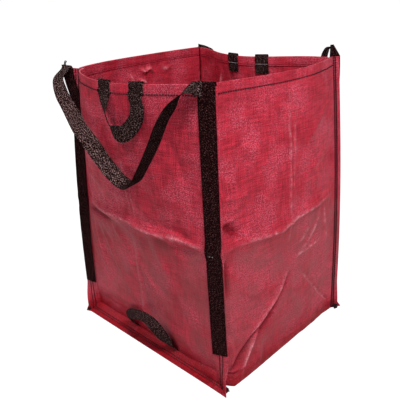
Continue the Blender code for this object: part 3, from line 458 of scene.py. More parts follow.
def grid_cells(shape, keep=None):
    """Index quads over a grid, as positions in the flat grid."""
    rows, columns = shape
    i, j = np.meshgrid(np.arange(rows - 1), np.arange(columns - 1), indexing="ij")
    a = i * columns + j
    cells = np.stack([a, a + columns, a + columns + 1, a + 1], -1)
    if keep is not None:
        cells = cells[keep]
    return cells.reshape(-1, 4)


def lifts(points):
    """For each grid point, the offset that moves every face beside it out by one."""
    index, unique = weld_index(points)
    cells = index.reshape(-1)[grid_cells(index.shape)]
    a, b, c, d = (unique[cells[:, k]] for k in range(4))
    normals = np.cross(c - a, d - b)
    size = np.linalg.norm(normals, axis=-1)
    solid = size > 1e-9
    cells, normals = cells[solid], normals[solid] / size[solid, None]
    total = np.zeros_like(unique)
    for k in range(4):
        np.add.at(total, cells[:, k], normals)
    total = unit(total)
    least = np.ones(len(unique))
    for k in range(4):
        np.minimum.at(least, cells[:, k], np.einsum("ij,ij->i", normals, total[cells[:, k]]))
    return (total / np.maximum(least, 0.55)[:, None])[index]


def mark(item, title, values):
    """A value kept on each vertex of a piece."""
    layer = item.data.attributes.new(title, "FLOAT", "POINT")
    layer.data.foreach_set("value", np.asarray(values, np.float32))


def add_object(name, vertices, faces, uv, material, body, smooth_angle=42):
    """A mesh piece, riding on a CAD body if one is given. Faces are lists of vertex numbers."""
    mesh = bpy.data.meshes.new(name)
    mesh.from_pydata([tuple(v) for v in vertices], [], [tuple(f) for f in faces])
    if uv is not None:
        layer = mesh.uv_layers.new(name="UVMap")
        layer.data.foreach_set("uv", np.asarray(uv, np.float32).ravel())
    mesh.validate()
    mesh.shade_smooth()
    mesh.set_sharp_from_angle(angle=math.radians(smooth_angle))
    mesh.materials.append(material)
    item = bpy.data.objects.new(name, mesh)
    bpy.context.scene.collection.objects.link(item)
    if body:
        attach(item, body)
    return item


def thick_sheet(name, replaced, middle, uv, keep, flip, marks):
    """A closed sheet of fabric about a grid of middle points, with values marked on them."""
    index, unique = weld_index(middle)
    normal = np.zeros_like(unique)
    normal[index.reshape(-1)] = lifts(middle).reshape(-1, 3) * (-1 if flip else 1)
    vertices = np.concatenate([unique + normal * (FABRIC / 2), unique - normal * (FABRIC / 2)])
    count = len(unique)
    flat_index, flat_uv = index.reshape(-1), uv.reshape(-1, 2)
    faces, corners, edges = [], [], {}
    for cell in grid_cells(index.shape, keep):
        ring = []
        for k in cell:
            if not ring or flat_index[k] != flat_index[ring[-1]]:
                ring.append(k)
        if flat_index[ring[0]] == flat_index[ring[-1]]:
            ring.pop()
        ids = [int(flat_index[k]) for k in ring]
        if len(ids) < 3 or len(set(ids)) != len(ids):
            continue
        if flip:
            ring.reverse()
            ids.reverse()
        faces += [ids, [i + count for i in reversed(ids)]]
        corners += [flat_uv[k] for k in ring + ring[::-1]]
        for m, k in enumerate(ring):
            after = (m + 1) % len(ring)
            edges[ids[m], ids[after]] = k, ring[after]
    for (a, b), (k, n) in edges.items():
        if (b, a) not in edges:
            faces.append([b, a, a + count, b + count])
            corners += [flat_uv[n], flat_uv[k], flat_uv[k], flat_uv[n]]
    item = add_object(name, vertices, faces, corners, fabric, "bag")
    for title, values in marks.items():
        whole = np.full(count, -1.0)
        np.maximum.at(whole, flat_index, np.ravel(values))
        mark(item, title, np.tile(whole, 2))
    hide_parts(replaced)


# ---------------------------------------------------------------- materials
def connect(value, socket):
    """Set a socket to a number or a colour, or link it to a value."""
    if isinstance(value, Value):
        socket.id_data.links.new(value.socket, socket)
    elif isinstance(value, tuple):
        socket.default_value = (*value, 1)
    else:
        socket.default_value = value


def add_node(tree, kind, inputs, **settings):
    """A shader node with its settings, and its inputs by number or name."""
    item = tree.nodes.new(kind)
    for key, value in settings.items():
        setattr(item, key, value)
    for key, value in inputs.items():
        connect(value, item.inputs[key])
    return item


def made(kind, inputs, output=0, **settings):
    """The value that a new node makes from others."""
    tree = next(value.socket.id_data for value in inputs.values() if isinstance(value, Value))
    return Value(add_node(tree, kind, inputs, **settings).outputs[output])


def calculate(operation, *values):
    """A sum over numbers and values."""
    return made("ShaderNodeMath", dict(enumerate(values)), operation=operation)


class Value:
    """A node's output, which can be used in sums."""

    def __init__(self, socket):
        self.socket = socket

    def __add__(self, other):
        return calculate("ADD", self, other)

    def __mul__(self, other):
        return calculate("MULTIPLY", self, other)

    def __sub__(self, other):
        return calculate("SUBTRACT", self, other)

    def __rsub__(self, other):
        return calculate("SUBTRACT", other, self)

    def __truediv__(self, other):
        return calculate("DIVIDE", self, other)

    def __pow__(self, other):
        return calculate("POWER", self, other)

    __radd__, __rmul__ = __add__, __mul__


def ribs(value, turn=math.pi):
    """A rounded rib for each whole number that a value passes."""
    return calculate("ABSOLUTE", calculate("SINE", value * turn))


def mix(factor, first, second, blend="MIX"):
    """A colour mixed between two colours."""
    return made("ShaderNodeMix", {0: factor, 6: first, 7: second}, 2, data_type="RGBA", blend_type=blend)


def multiplied(base, colour):
    """A colour multiplied by another."""
    return mix(1.0, base, colour, "MULTIPLY")


def scaled(colour, share):
    """A plain colour made lighter or darker."""
    return tuple(min(channel * share, 1) for channel in colour)


def vector(x, y, z=0.0):
    """A vector from three numbers or values."""
    return made("ShaderNodeCombineXYZ", {0: x, 1: y, 2: z})


def noise_at(place, scale=1.0, detail=2.0, rough=0.5):
    """A noise texture's value."""
    return made("ShaderNodeTexNoise", {"Vector": place, "Scale": scale, "Detail": detail, "Roughness": rough})


def marked(place, title):
    """A value that is kept on the vertices."""
    return Value(add_node(place.socket.id_data, "ShaderNodeAttribute", {}, attribute_name=title).outputs[2])


def ramp(value, *stops):
    """A value led through stops of places and levels."""
    result = made("ShaderNodeValToRGB", {0: value})
    elements = result.socket.node.color_ramp.elements
    while len(elements) < len(stops):
        elements.new(0.5)
    for element, (place, level) in zip(elements, stops):
        element.position = place
        element.color = (level, level, level, 1)
    return result


def start_material(name, roughness, specular):
    """A material, its shader's inputs, its object coordinates and its two UV coordinates."""
    material = bpy.data.materials.new(name)
    material.use_nodes = True
    tree = material.node_tree
    inputs = tree.nodes["Principled BSDF"].inputs
    inputs["Roughness"].default_value = roughness
    inputs["Specular IOR Level"].default_value = specular
    outputs = tree.nodes.new("ShaderNodeTexCoord").outputs
    u, v, _ = add_node(tree, "ShaderNodeSeparateXYZ", {0: Value(outputs["UV"])}).outputs
    return material, inputs, Value(outputs["Object"]), Value(u), Value(v)


def link_looks(inputs, base, height):
    """Link a shader's colour, and its bumps from a height in metres."""
    connect(base, inputs["Base Color"])
    connect(made("ShaderNodeBump", {"Strength": 1.0, "Distance": 1.0, "Height": height}), inputs["Normal"])


TAPE_PITCH = 0.0026


def fabric_material(name, tint):
    """Laminated fabric woven from flat tapes."""
    material, inputs, place, u, v = start_material(name, 0.42, 0.045)
    across, along = u / TAPE_PITCH, v / TAPE_PITCH
    column, row = calculate("FLOOR", across), calculate("FLOOR", along)
    # a plain weave: which tape lies on top alternates like a chessboard
    over = calculate("PINGPONG", column + row, 1.0)
    under = 1.0 - over
    weave = ribs(across) ** 0.35 * over + ribs(along) ** 0.35 * under
    # each tape has its own tone
    warp_tone = noise_at(vector(column * 3.7, v * 24.0))
    weft_tone = noise_at(vector(u * 24.0, row * 3.3, 9.0))
    tone = ramp(warp_tone * over + weft_tone * under, (0.36, 0.0), (0.64, 1.0))
    base = mix(tone, scaled(tint, 0.55), scaled(tint, 1.45))
    blotch = ramp(noise_at(place, 9.0, 3.0), (0.38, 0.0), (0.66, 1.0))
    base = mix(blotch * 0.28, base, scaled(tint, 0.64))
    # painted shade in the grooves between the tapes
    base = multiplied(base, ramp(weave, (0.0, 0.45), (0.5, 1.0)))
    # painted glints: speckled patches where the film would catch the light
    speck = ramp(noise_at(vector(u * 330.0, v * 300.0, 2.0), 1.0, 1.0), (0.47, 0.0), (0.60, 1.0))
    patch = ramp(noise_at(place, 13.0, 3.0), (0.43, 0.06), (0.60, 1.0))
    painted_glint = speck * (0.55 + over * 0.45) * patch * 0.60
    base = mix(painted_glint, base, (0.80, 0.19, 0.28))
    # the lower half is duller: a painted reflection of the pale floor, laid on with a fine dust
    level = made("ShaderNodeSeparateXYZ", {0: place}, 2)
    uneven = level + noise_at(place, 16.0, 3.0) * 0.060
    dust_and_floor_reflection = ramp(uneven, (0.055, 0.1), (0.115, 1.0), (0.375, 1.0), (0.422, 0.0))
    dust_and_floor_reflection *= ramp(noise_at(place, 11.0, 4.0, 0.6), (0.36, 0.12), (0.62, 0.62))
    base = mix(dust_and_floor_reflection, base, (0.262, 0.066, 0.072))
    # painted shade: the foot and the folded margin along the floor are darkened
    foot = ramp(level, (0.0, 1.0), (0.018, 0.9), (0.040, 0.30), (0.070, 0.0))
    base = mix(foot, base, multiplied(base, (0.66, 0.36, 0.35)))
    # painted shade in the lowest dips; sharp folds turn white in dots, with a painted highlight on them
    whitening_and_painted_light = marked(place, "fold_whitening_and_painted_light")
    painted_dip_shade = calculate("MAXIMUM", whitening_and_painted_light * -1.0, 0.0)
    base = mix(painted_dip_shade, base, multiplied(base, (0.48, 0.18, 0.26)))
    dots = ramp(noise_at(place, 320.0, 1.0), (0.36, 0.25), (0.60, 1.0))
    whitening_and_painted_highlight = calculate("MAXIMUM", whitening_and_painted_light, 0.0) ** 1.6 * dots * 0.90
    base = mix(whitening_and_painted_highlight, base, (0.86, 0.34, 0.40))
    # painted shade in the dents along the rows of stitches
    base = mix(marked(place, "sewn") ** 4.0 * 0.72, base, scaled(tint, 0.10))
    grain, film = noise_at(place, 260.0), noise_at(place, 38.0, 3.0)
    link_looks(inputs, base, weave * 0.00020 + (grain * 0.00005 + film * 0.00035))
    connect(0.30 + film * 0.22, inputs["Roughness"])
    inputs["Coat Weight"].default_value = 0.05
    inputs["Coat Roughness"].default_value = 0.24
    return material


def webbing_material(name, dark, fleck):
    """Heathered twill webbing: dark yarns with light flecks in diagonal ribs."""
    material, inputs, place, u, v = start_material(name, 0.85, 0.012)
    slanted = u / 0.0030 + v / 0.0026
    rib, wide_rib = ribs(slanted), ribs(u / 0.0064 + v / 0.0056)
    spots = noise_at(vector(slanted * 1.2, (u - v) * 190.0), 1.0, 1.5)
    spots = ramp(spots, (0.54, 0.0), (0.61, 1.0))
    patches = ramp(noise_at(vector(u * 90.0, v * 60.0, 4.0)), (0.36, 0.55), (0.62, 1.0))
    flecks = spots * patches * ramp(wide_rib, (0.15, 0.15), (0.80, 1.0)) * marked(place, "face")
    base = mix(noise_at(place, 45.0), scaled(dark, 0.6), scaled(dark, 1.5))
    base = mix(flecks, base, fleck)
    # painted shade in the grooves between the ribs
    base = multiplied(base, ramp(rib, (0.0, 0.45), (0.6, 1.0)))
    yarn = ribs(v, math.pi / 0.0011)
    link_looks(inputs, base, rib * 0.00030 + yarn * 0.00012)
    return material


def thread_material(name, colour):
    """Sewing thread with a twisted ply."""
    material, inputs, place, _, _ = start_material(name, 0.65, 0.15)
    twist = made("ShaderNodeTexWave", {"Vector": place, "Scale": 420.0}, 1, bands_direction="DIAGONAL")
    link_looks(inputs, mix(twist, scaled(colour, 0.6), scaled(colour, 1.4)), twist * 0.00012)
    return material


fabric = fabric_material("woven_fabric_detail", (0.475, 0.026, 0.049))
webbing = webbing_material("webbing_detail", (0.0090, 0.0024, 0.0028), (0.52, 0.33, 0.31))
# the corner straps take a darker copy of the same webbing with dimmer flecks: painted shade
shaded_strap_webbing = webbing_material("shaded_strap_webbing_detail", (0.0070, 0.0012, 0.0015), (0.28, 0.11, 0.11))
thread = thread_material("thread_detail", (0.018, 0.006, 0.008))
light_thread = thread_material("light_thread_detail", (0.42, 0.36, 0.38))

# ---------------------------------------------------------------- fabric
front = Panel("front", "front_left", "front_right")
back = Panel("back", "back_right", "back_left")

# Rows and columns of a panel's grid: its margin, then its wall
EDGE_STEPS = np.array([1.0, 1.5, 2.0, 2.25, 2.5, 2.75])
PANEL_ROWS = np.concatenate([EDGE_STEPS, 3 + np.linspace(0, LOW_ROW, 9)[:-1],
                             3 + np.linspace(LOW_ROW, BAG_HEIGHT, WALL_ROWS)])
PANEL_COLUMNS = np.concatenate([EDGE_STEPS, 3 + np.linspace(0, 1, WALL_COLUMNS + 1), 7 - EDGE_STEPS[::-1]])

# The hem's fold as distances across it and above the rim, then its inner layer as depths below the rim
HEM_TURN = ((0.00045, 0.0007), (0.0, 0.0012), (-0.0006, 0.0012), (-0.0011, 0.0007), (-0.0013, 0.0))
HEM_INSIDE = (0.003, 0.007, 0.012, 0.016, 0.020, 0.024)
HEM_LAYER = 0.0013
HEM_LENGTHS = np.concatenate([np.linspace(0.001, 0.006, len(HEM_TURN)), 0.006 + np.array(HEM_INSIDE)])
HEM_STITCHES = len(HEM_TURN) + HEM_INSIDE.index(HEM)


def up(height):
    """An upward step."""
    return np.array([0.0, 0.0, height])


def build_panel(panel):
    """The front or back panel with its hem turned in at the rim."""
    joint = panel.place(PANEL_COLUMNS[:, None], PANEL_ROWS[None, :])
    lift = lifts(joint)
    flip = lift[50, 75] @ panel.out < 0
    if flip:
        lift = -lift
    rim, rim_lift = joint[:, -1], unit(lift[:, -1])
    hem = [rim + rim_lift * across + up(above) for across, above in HEM_TURN]
    for below in HEM_INSIDE:
        puff = 0.0004 * math.sin(math.pi * min(below / HEM, 1.0))
        hem.append(panel.place(PANEL_COLUMNS, 3 + BAG_HEIGHT - below) - rim_lift * (HEM_LAYER + puff))
    middle = np.concatenate([joint + lift * PANEL_LAYER, np.stack(hem, 1)], 1)
    share, level = np.clip(PANEL_COLUMNS - 3, 0, 1), np.maximum(PANEL_ROWS - 3, 0)
    heights = np.concatenate([level - np.maximum(3 - PANEL_ROWS, 0) * 0.01, BAG_HEIGHT + HEM_LENGTHS])
    uv = np.stack(np.broadcast_arrays((share * WALL_WIDTHS[panel.wall])[:, None], heights), -1)
    row_count = len(PANEL_ROWS)
    whitening_and_painted_light, sewn = np.zeros(middle.shape[:2]), np.zeros(middle.shape[:2])
    on_wall = ((PANEL_COLUMNS >= 3) & (PANEL_COLUMNS <= 4))[:, None] & (PANEL_ROWS >= 3)
    whitening_and_painted_light[:, :row_count] = fold_whitening_and_painted_light(panel.wall, share[:, None], level[None, :]) * on_wall
    # painted shade in the dents along the hem's stitches, on both layers of the hem
    sewn[:, np.argmin(np.abs(level - BAG_HEIGHT + HEM))] = 0.86
    sewn[:, row_count + HEM_STITCHES] = 1.0
    inside = (PANEL_COLUMNS[:-1] >= 3.0) & (PANEL_COLUMNS[1:] <= 4.0)
    keep = np.ones((middle.shape[0] - 1, middle.shape[1] - 1), bool)
    keep[~inside, row_count - 1:] = False
    thick_sheet(f"{panel.wall}_cloth", f"{panel.wall}_panel", middle, uv, keep, flip,
                {"fold_whitening_and_painted_light": whitening_and_painted_light, "sewn": sewn})


build_panel(front)
build_panel(back)

# Rings across the folded margin, from the lap's end to its free edge
RINGS = np.array([3.0, 2.85, 2.65, 2.4, 2.2, 2.0, 1.75, 1.5, 1.25, 1.0, 0.8, 0.55, 0.3, 0.12, 0.0])
FOLD_TURNS = (0.25, 0.5, 0.75)
HALF_WEBBING = WEBBING_WIDTH / 2


def ring_index(ring):
    """The place of the ring nearest to a coordinate."""
    return int(np.argmin(np.abs(RINGS - ring)))


def rung_path():
    """Places of the rungs along the margin: side, and the row or column coordinate."""
    fall = 3 + np.concatenate([np.linspace(BAG_HEIGHT, LOW_ROW, WALL_ROWS), np.linspace(LOW_ROW, 0, 9)[1:]])
    fall = np.concatenate([fall, [2.8, 2.6, 2.4, 2.2, 2.0]])
    floor = np.concatenate([[2.25, 2.5, 2.75], 3 + np.linspace(0, 1, WALL_COLUMNS + 1), [4.25, 4.5, 4.75]])
    return ([("left", row) for row in fall] + [("floor", column) for column in floor]
            + [("right", row) for row in fall[::-1]])


PATH = rung_path()


def rung_keys(side, value, ring):
    """The column and row of one ring of a rung."""
    if side == "left":
        return ring, max(value, ring)
    if side == "right":
        return 7 - ring, max(value, ring)
    if value < 3.5:
        return max(value, ring), ring
    return 7 - max(7 - value, ring), ring


def leg_share(panel, leg, z):
    """The share of a panel's width that lies at a given x."""
    shares = np.linspace(0, 1, 401)
    xs = panel.wall_points(shares, np.full(401, z), False)[:, 0]
    order = np.argsort(xs)
    return float(np.interp(leg, xs[order], shares[order]))


def leg_shares(panel, leg, z, half=HALF_WEBBING):
    """The shares of a panel's width at the two edges of a handle's leg, the smaller one first."""
    return sorted(leg_share(panel, leg + side * half, z) for side in (-1, 1))


SPANS = [leg_shares(front, leg, KICK_HEIGHT) for leg in BOTTOM_HANDLE_LEGS]


def tucked(panel, side, value):
    """How far a rung's folded margin is lifted by a sewn end under it, from 0 to 1."""
    if panel.wall != "front" or side != "floor":
        return 0.0
    share = value - 3
    beyond = min(max(low - share, share - high, 0.0) for low, high in SPANS)
    return max(1 - beyond * BASE_WIDTH / TUCK_RISE, 0.0)


def margin_grid(panel):
    """The joint surface under a panel's folded margin, by rung and ring, and its lifts."""
    # one more ring past the lap's end gives the last ones their slope
    keys = [[rung_keys(side, value, ring) for ring in (3.012, *RINGS)] for side, value in PATH]
    columns, rows = np.array(keys).transpose(2, 0, 1)
    joint = panel.place(columns, rows)
    lift = lifts(joint)
    if lift[len(PATH) // 2, -3, 2] < 0:
        lift = -lift
    return joint[:, 1:], lift[:, 1:]


def over_heights(panel):
    """How far each ring of the folded-over layer stands off the joint surface, by rung."""
    lift_share = np.array([tucked(panel, side, value) for side, value in PATH])
    inner = np.interp(RINGS, (0.0, 1.0, 2.0, 3.0), (0.0, 0.0, 1.0, 1.0))
    raised = lift_share[:, None] * inner[None, :] * (WEBBING + SLIT)
    # between the rows of stitches the layers over the margin stand up
    puffs = 0.0009 * np.sin(math.pi * np.clip(RINGS - 2, 0, 1)) ** 2 * 0.7
    puffs += 0.0008 * np.sin(math.pi * np.clip(RINGS - 1, 0, 1)) ** 2 * (RINGS < 2)
    puffs += 0.0009 * np.sin(math.pi * np.clip(RINGS, 0, 1)) ** 2 * (RINGS < 1)
    seed = 5.0 if panel.wall == "front" else 15.0
    wave = np.array([[0.6 + 0.9 * noise.noise(Vector((rung * 0.005 / 0.018, ring * 1.3, seed)))
                      for ring in RINGS] for rung in range(len(PATH))])
    return OVER_LAYER + raised + puffs[None, :] * np.clip(wave, 0.1, 1.4)


margins = {panel.wall: (*margin_grid(panel), over_heights(panel)) for panel in (front, back)}


def folded_margin(panel):
    """A strip across the margin: over the panel's edge, round its free edge and back under it."""
    joint, lift, heights = margins[panel.wall]
    edge, edge_lift = joint[:, -1], lift[:, -1]
    inward = unit(joint[:, -2] - edge)
    radius, centre = (OVER_LAYER + FABRIC / 2) / 2, (OVER_LAYER - FABRIC / 2) / 2
    arc = [edge + edge_lift * (centre + radius * math.cos(math.pi * turn))
           - inward * (radius * math.sin(math.pi * turn)) for turn in FOLD_TURNS]
    under = (joint - lift * (FABRIC / 2))[:, RINGS <= 2.0][:, ::-1]
    return np.concatenate([joint + lift * heights[..., None], np.stack(arc, 1), under], 1)


FOOT_RADIUS = 0.006


def side_points(start, end, inner, sides):
    """The side walls and the bottom, between the two folded margins."""
    points = np.zeros((len(PATH), len(inner), 3))
    on_wall = np.array([side != "floor" for side, _ in PATH])[:, None]
    level = [i for i, (side, value) in enumerate(PATH) if side == "floor" and 3.0 <= value <= 4.0]
    share = np.array([1.0 if side != "floor" else max(3 - value, value - 4, 0.0) for side, value in PATH])
    for wall, sign, rungs in sides:
        a, b = start[rungs, None], end[rungs, None]
        straight = a + (b - a) * inner[None, :, None]
        bent = bulged(wall, a, b, inner[None, :], sign)
        points[rungs] = straight + (bent - straight) * share[rungs, None, None]
    # the bottom edge of each side wall is a soft fold
    lower = np.clip(FOOT_RADIUS - points[..., 2], 0, FOOT_RADIUS)
    rounding = FOOT_RADIUS - np.sqrt(np.maximum(FOOT_RADIUS ** 2 - lower ** 2, 0))
    rounding *= smooth(np.minimum(inner, 1 - inner) / 0.07)[None, :]
    towards = np.where(np.arange(len(PATH)) < len(PATH) // 2, 1.0, -1.0)[:, None]
    points[..., 0] += rounding * towards * on_wall * 0.5
    # the floor is not quite flat
    x, y = points[level, :, 0], points[level, :, 1]
    ripple = 0.0016 * soft_noise(x, y, 0.09, 0.08, 41.0) + 0.0006 * soft_noise(x, y, 0.030, 0.034, 47.0)
    points[level, :, 2] += np.maximum(ripple, 0) * smooth(np.minimum(inner, 1 - inner) / 0.08)
    return points


def side_hem(grid, uv, lift, rim, step):
    """The turned hem of one side wall and its UV, from the rim's rung inward."""
    rim_lift = unit(lift[rim])
    rows = [grid[rim] + rim_lift * (across - PANEL_LAYER) + up(above) for across, above in HEM_TURN]
    for below in HEM_INSIDE:
        exact = below / ((BAG_HEIGHT - LOW_ROW) / (WALL_ROWS - 1))
        low = int(exact)
        mixed = grid[rim + step * low] * (1 - exact + low) + grid[rim + step * (low + 1)] * (exact - low)
        rows.append(mixed - rim_lift * (HEM_LAYER + PANEL_LAYER))
    along = uv[rim, 0, 1] - step * HEM_LENGTHS
    return np.stack(rows), np.stack(np.broadcast_arrays(uv[rim, :, 0], along[:, None]), -1)


def build_u_panel():
    """The U-shaped cut: left side, bottom, right side, folded margins and turned rims."""
    front_part, back_part = folded_margin(front), folded_margin(back)[::-1]
    count = len(PATH)
    half = count // 2
    sides = (("left", -1, slice(0, half)), ("right", 1, slice(half, count)))
    inner = np.linspace(0, 1, SIDE_COLUMNS + 1)[1:-1]
    wall_part = side_points(front_part[:, -1], back_part[:, -1], inner, sides)
    grid = np.concatenate([front_part, wall_part, back_part[:, ::-1]], 1)
    width = grid.shape[1]
    first, last = front_part.shape[1] - 1, front_part.shape[1] + len(inner)
    # the weave stays square to each wall, counted from the middle of the strip
    across = distances(grid.swapaxes(0, 1)).T
    across = across - across[:, [width // 2]]
    uv = np.stack(np.broadcast_arrays(across, distances(grid[:, width // 2])[:, None]), -1)
    lift = lifts(grid)
    flip = lift[60, first + 41, 0] > 0
    if flip:
        lift = -lift
    left_hem, left_uv = side_hem(grid, uv, lift, 0, 1)
    right_hem, right_uv = side_hem(grid, uv, lift, count - 1, -1)
    full = np.concatenate([left_hem[::-1], grid, right_hem])
    full_uv = np.concatenate([left_uv[::-1], uv, right_uv])
    # the film's whitening with painted highlights and painted shade along its folds, and painted shade in the
    # dents of the stitches
    whitening_and_painted_light, sewn = np.zeros((count, width)), np.zeros((count, width))
    levels = np.array([max(value - 3, 0.0) for _, value in PATH])
    upright = np.array([side != "floor" and value >= 3 for side, value in PATH])
    for wall, _, rungs in sides:
        whitening_and_painted_light[rungs, first + 1:last] = fold_whitening_and_painted_light(wall, inner[None, :], levels[rungs, None]) * upright[rungs, None]
    hem_rung = int(np.argmin(np.abs(levels[:half] - BAG_HEIGHT + HEM)))
    sewn[[hem_rung, count - 1 - hem_rung], first:last + 1] = 0.95
    under = 2 * len(RINGS) + len(FOLD_TURNS) - 1 - ring_index(1.0)
    seams = [(ring_index(2.0), 1.0), (ring_index(1.0), 1.0), (under, 1.0)]
    seams += [(under + further, 0.92) for further in (1, 2, 3)]
    for column, depth in seams:
        sewn[:, [column, width - 1 - column]] = depth
    hem_marks = np.zeros((len(left_hem), width))
    hem_marks[HEM_STITCHES] = 1.0
    whitening_and_painted_light = np.concatenate([hem_marks * 0, whitening_and_painted_light, hem_marks * 0])
    sewn = np.concatenate([hem_marks[::-1], sewn, hem_marks])
    keep = np.ones((full.shape[0] - 1, width - 1), bool)
    outside = np.ones(width - 1, bool)
    outside[first + 1:last - 1] = False
    keep[:len(left_hem), outside] = keep[-len(right_hem):, outside] = False
    thick_sheet("side_cloth", "u_panel", full, full_uv, keep, flip, {"fold_whitening_and_painted_light": whitening_and_painted_light, "sewn": sewn})


build_u_panel()


# ---------------------------------------------------------------- webbing
CURVE_STEPS = 8
EDGE_WAVER, WAVER_LENGTH = 0.0004, 0.021
TAPE_PROFILE = [(-1.0, 0.0), (-0.988, 0.62), (-0.955, 0.95), (-0.80, 1.0), (-0.45, 1.0), (0.0, 1.0),
                (0.45, 1.0), (0.80, 1.0), (0.955, 0.95), (0.988, 0.62), (1.0, 0.0)]


def curve_through(points):
    """A smooth curve through given points, or through pairs of them."""
    points = np.array(points, float)
    result = []
    for i in range(len(points) - 1):
        p0, p1, p2 = points[max(i - 1, 0)], points[i], points[i + 1]
        p3 = points[min(i + 2, len(points) - 1)]
        for t in np.arange(CURVE_STEPS) / CURVE_STEPS:
            result.append(0.5 * ((2 * p1) + (p2 - p0) * t + (2 * p0 - 5 * p1 + 4 * p2 - p3) * t * t
                                 + (3 * p1 - p0 - 3 * p2 + p3) * t * t * t))
    result.append(points[-1])
    return np.array(result)


def tape(name, replaced, edges, body, material=webbing, seed=0.0, face=1.0, turned=None):
    """A strip of webbing between two edges, with rounded edges and closed ends.

    Face is how plainly its light flecks show. Where its share of the length is past turned, the flecks fade
    as painted shade on a leg that faces down, and partly come back near the end.
    """
    near, far = np.array(edges, float)
    middle = (near + far) / 2
    across = unit(far - near)
    width = np.linalg.norm(far - near, axis=-1)
    normal = unit(np.cross(unit(np.gradient(middle, axis=0)), across))
    length = distances(middle)
    wave = np.array([noise.noise(Vector((d / WAVER_LENGTH, seed, 2.2))) for d in length]) * EDGE_WAVER
    profile = TAPE_PROFILE + [(x, -y) for x, y in reversed(TAPE_PROFILE[1:-1])]
    sections = len(profile)
    vertices, faces, corners = [], [], []
    for i in range(len(middle)):
        for x, y in profile:
            aside, above = x * width[i] / 2 + x * wave[i], y * TAPE_THICKNESS / 2
            vertices.append(middle[i] + across[i] * aside + normal[i] * above)
    for i in range(len(middle) - 1):
        for k in range(sections):
            after = (k + 1) % sections
            a, b = i * sections + k, i * sections + after
            faces.append([a, b, b + sections, a + sections])
            corners += [(profile[index][0] * width[row] / 2, length[row])
                        for index, row in ((k, i), (after, i), (after, i + 1), (k, i + 1))]
    for row, order in ((0, range(sections - 1, -1, -1)), (len(middle) - 1, range(sections))):
        faces.append([row * sections + k for k in order])
        corners += [(profile[k][0] * WEBBING_WIDTH / 2, length[row]) for k in order]
    item = add_object(name, vertices, faces, corners, material, body, 60)
    share = length / length[-1]
    shown = np.full(len(share), face)
    if turned is not None:
        shown -= 0.8 * smooth((share - turned) / 0.03) - 0.35 * smooth((share - 0.93) / 0.03)
    mark(item, "face", np.repeat(shown, sections))
    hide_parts(replaced)
    return item


def edges_through(pairs):
    """Webbing's two edges through pairs of given points."""
    return curve_through(pairs).swapaxes(0, 1)


# How much further out than the margin's middle a strap is sewn, and how far it stands off the margin
STRAP_SHIFT = {"back_right": 0.0045}
STRAP_GAP = 0.0016


def strap_edge_points(corner, z):
    """A corner strap's inner and outer edge at heights z on the folded margin, and the way it faces."""
    data = CORNERS[corner]
    z = np.asarray(z, float)
    level = np.minimum(z, BAG_HEIGHT)
    heading = seam_headings(corner, level)
    out = np.stack([heading[..., 1], -heading[..., 0], np.zeros_like(level)], -1)
    if data["sign"][0] == data["sign"][1]:
        out = -out
    flare = data["flare"] * smooth((level - BAG_HEIGHT + FLARE_HEIGHT) / FLARE_HEIGHT)
    # the strap kinks outward and inward beside the bag's middle fold
    kink = np.exp(-((level - 0.3765) / 0.011) ** 2) - 0.6 * np.exp(-((level - 0.352) / 0.012) ** 2)
    stand_off = (OVER_TOP + STRAP_GAP + TAPE_THICKNESS / 2 + 0.0026 * kink)[..., None]
    shift = (MARGIN - LAP) / 2 + flare + STRAP_SHIFT.get(corner, 0.0)
    shift = shift - 0.0022 * np.exp(-((level - 0.374) / 0.018) ** 2)
    middle = seam_points(corner, level) + heading * shift[..., None] + out * stand_off
    above = np.maximum(z - BAG_HEIGHT, 0)
    width = np.full_like(level, WEBBING_WIDTH)
    if data["rise"]:
        width = width * (1 - (1 - data["narrow"]) * above / data["rise"])
    middle[..., 2] += above
    inner = middle - heading * HALF_WEBBING
    return inner, inner + heading * width[..., None], out


def folded_over(edge, out, height=0.0085, depth=0.0095):
    """A strap's edge carried on over the rim in a soft fold and a little way down inside."""
    line = [edge[-1] - out * (depth * (1 - math.cos(math.pi * t)) / 2) + up(height * math.sin(math.pi * t))
            for t in np.linspace(0, 1, 8)[1:]]
    for _ in range(2):
        line.append(line[-1] - up(0.006))
    return np.concatenate([edge, line])


for number, (corner, data) in enumerate(CORNERS.items()):
    levels = np.linspace(STRAP_START, BAG_HEIGHT, 120)
    if data["rise"]:
        levels = np.concatenate([levels, BAG_HEIGHT + np.linspace(0, data["rise"], 9)[1:]])
    *edges, out = strap_edge_points(corner, levels)
    if corner == "front_right":
        edges = [folded_over(edge, out[-1]) for edge in edges]
    tape(corner + "_strap", corner + "_webbing", edges, "bag", shaded_strap_webbing, number * 3.0, 0.45)


def point_pairs(rows):
    """Pairs of points on webbing's two edges, from rows of six coordinates in millimetres."""
    return [*(np.array(rows, float).reshape(-1, 2, 3) / 1000)]


FRONT_LIFT_LOOP = point_pairs([
    (-288, -270, 716, -252, -262, 718), (-279, -281, 697, -247, -263, 700),
    (-252, -292, 671, -231, -262, 672), (-208, -300, 638, -189, -268, 645),
    (-160, -307, 601, -145, -273, 610), (-113, -311, 573, -101, -277, 587),
    (-65, -313, 539, -53, -280, 553), (-25, -312, 512, -12, -279, 524), (12, -308, 494, 20, -274, 506),
    (45, -306, 503, 47, -270, 509), (82, -304, 552, 78, -267, 550), (123, -303, 611, 122, -265, 610),
    (152, -298, 664, 149, -260, 662), (181, -291, 703, 173, -257, 693),
    (205, -272, 725.5, 180, -250, 718), (223.5, -262, 726, 198, -240.5, 741.5),
    (229, -250, 721.5, 215, -240.5, 748.5),
])
FRONT_LOOP_END = ((0.232, -0.2410, 0.7195), (0.233, -0.2390, 0.7515))
LOOP_CLEARANCE = 0.004
LOOP_SLANT = np.array([1.5, -1.0, 0.5])
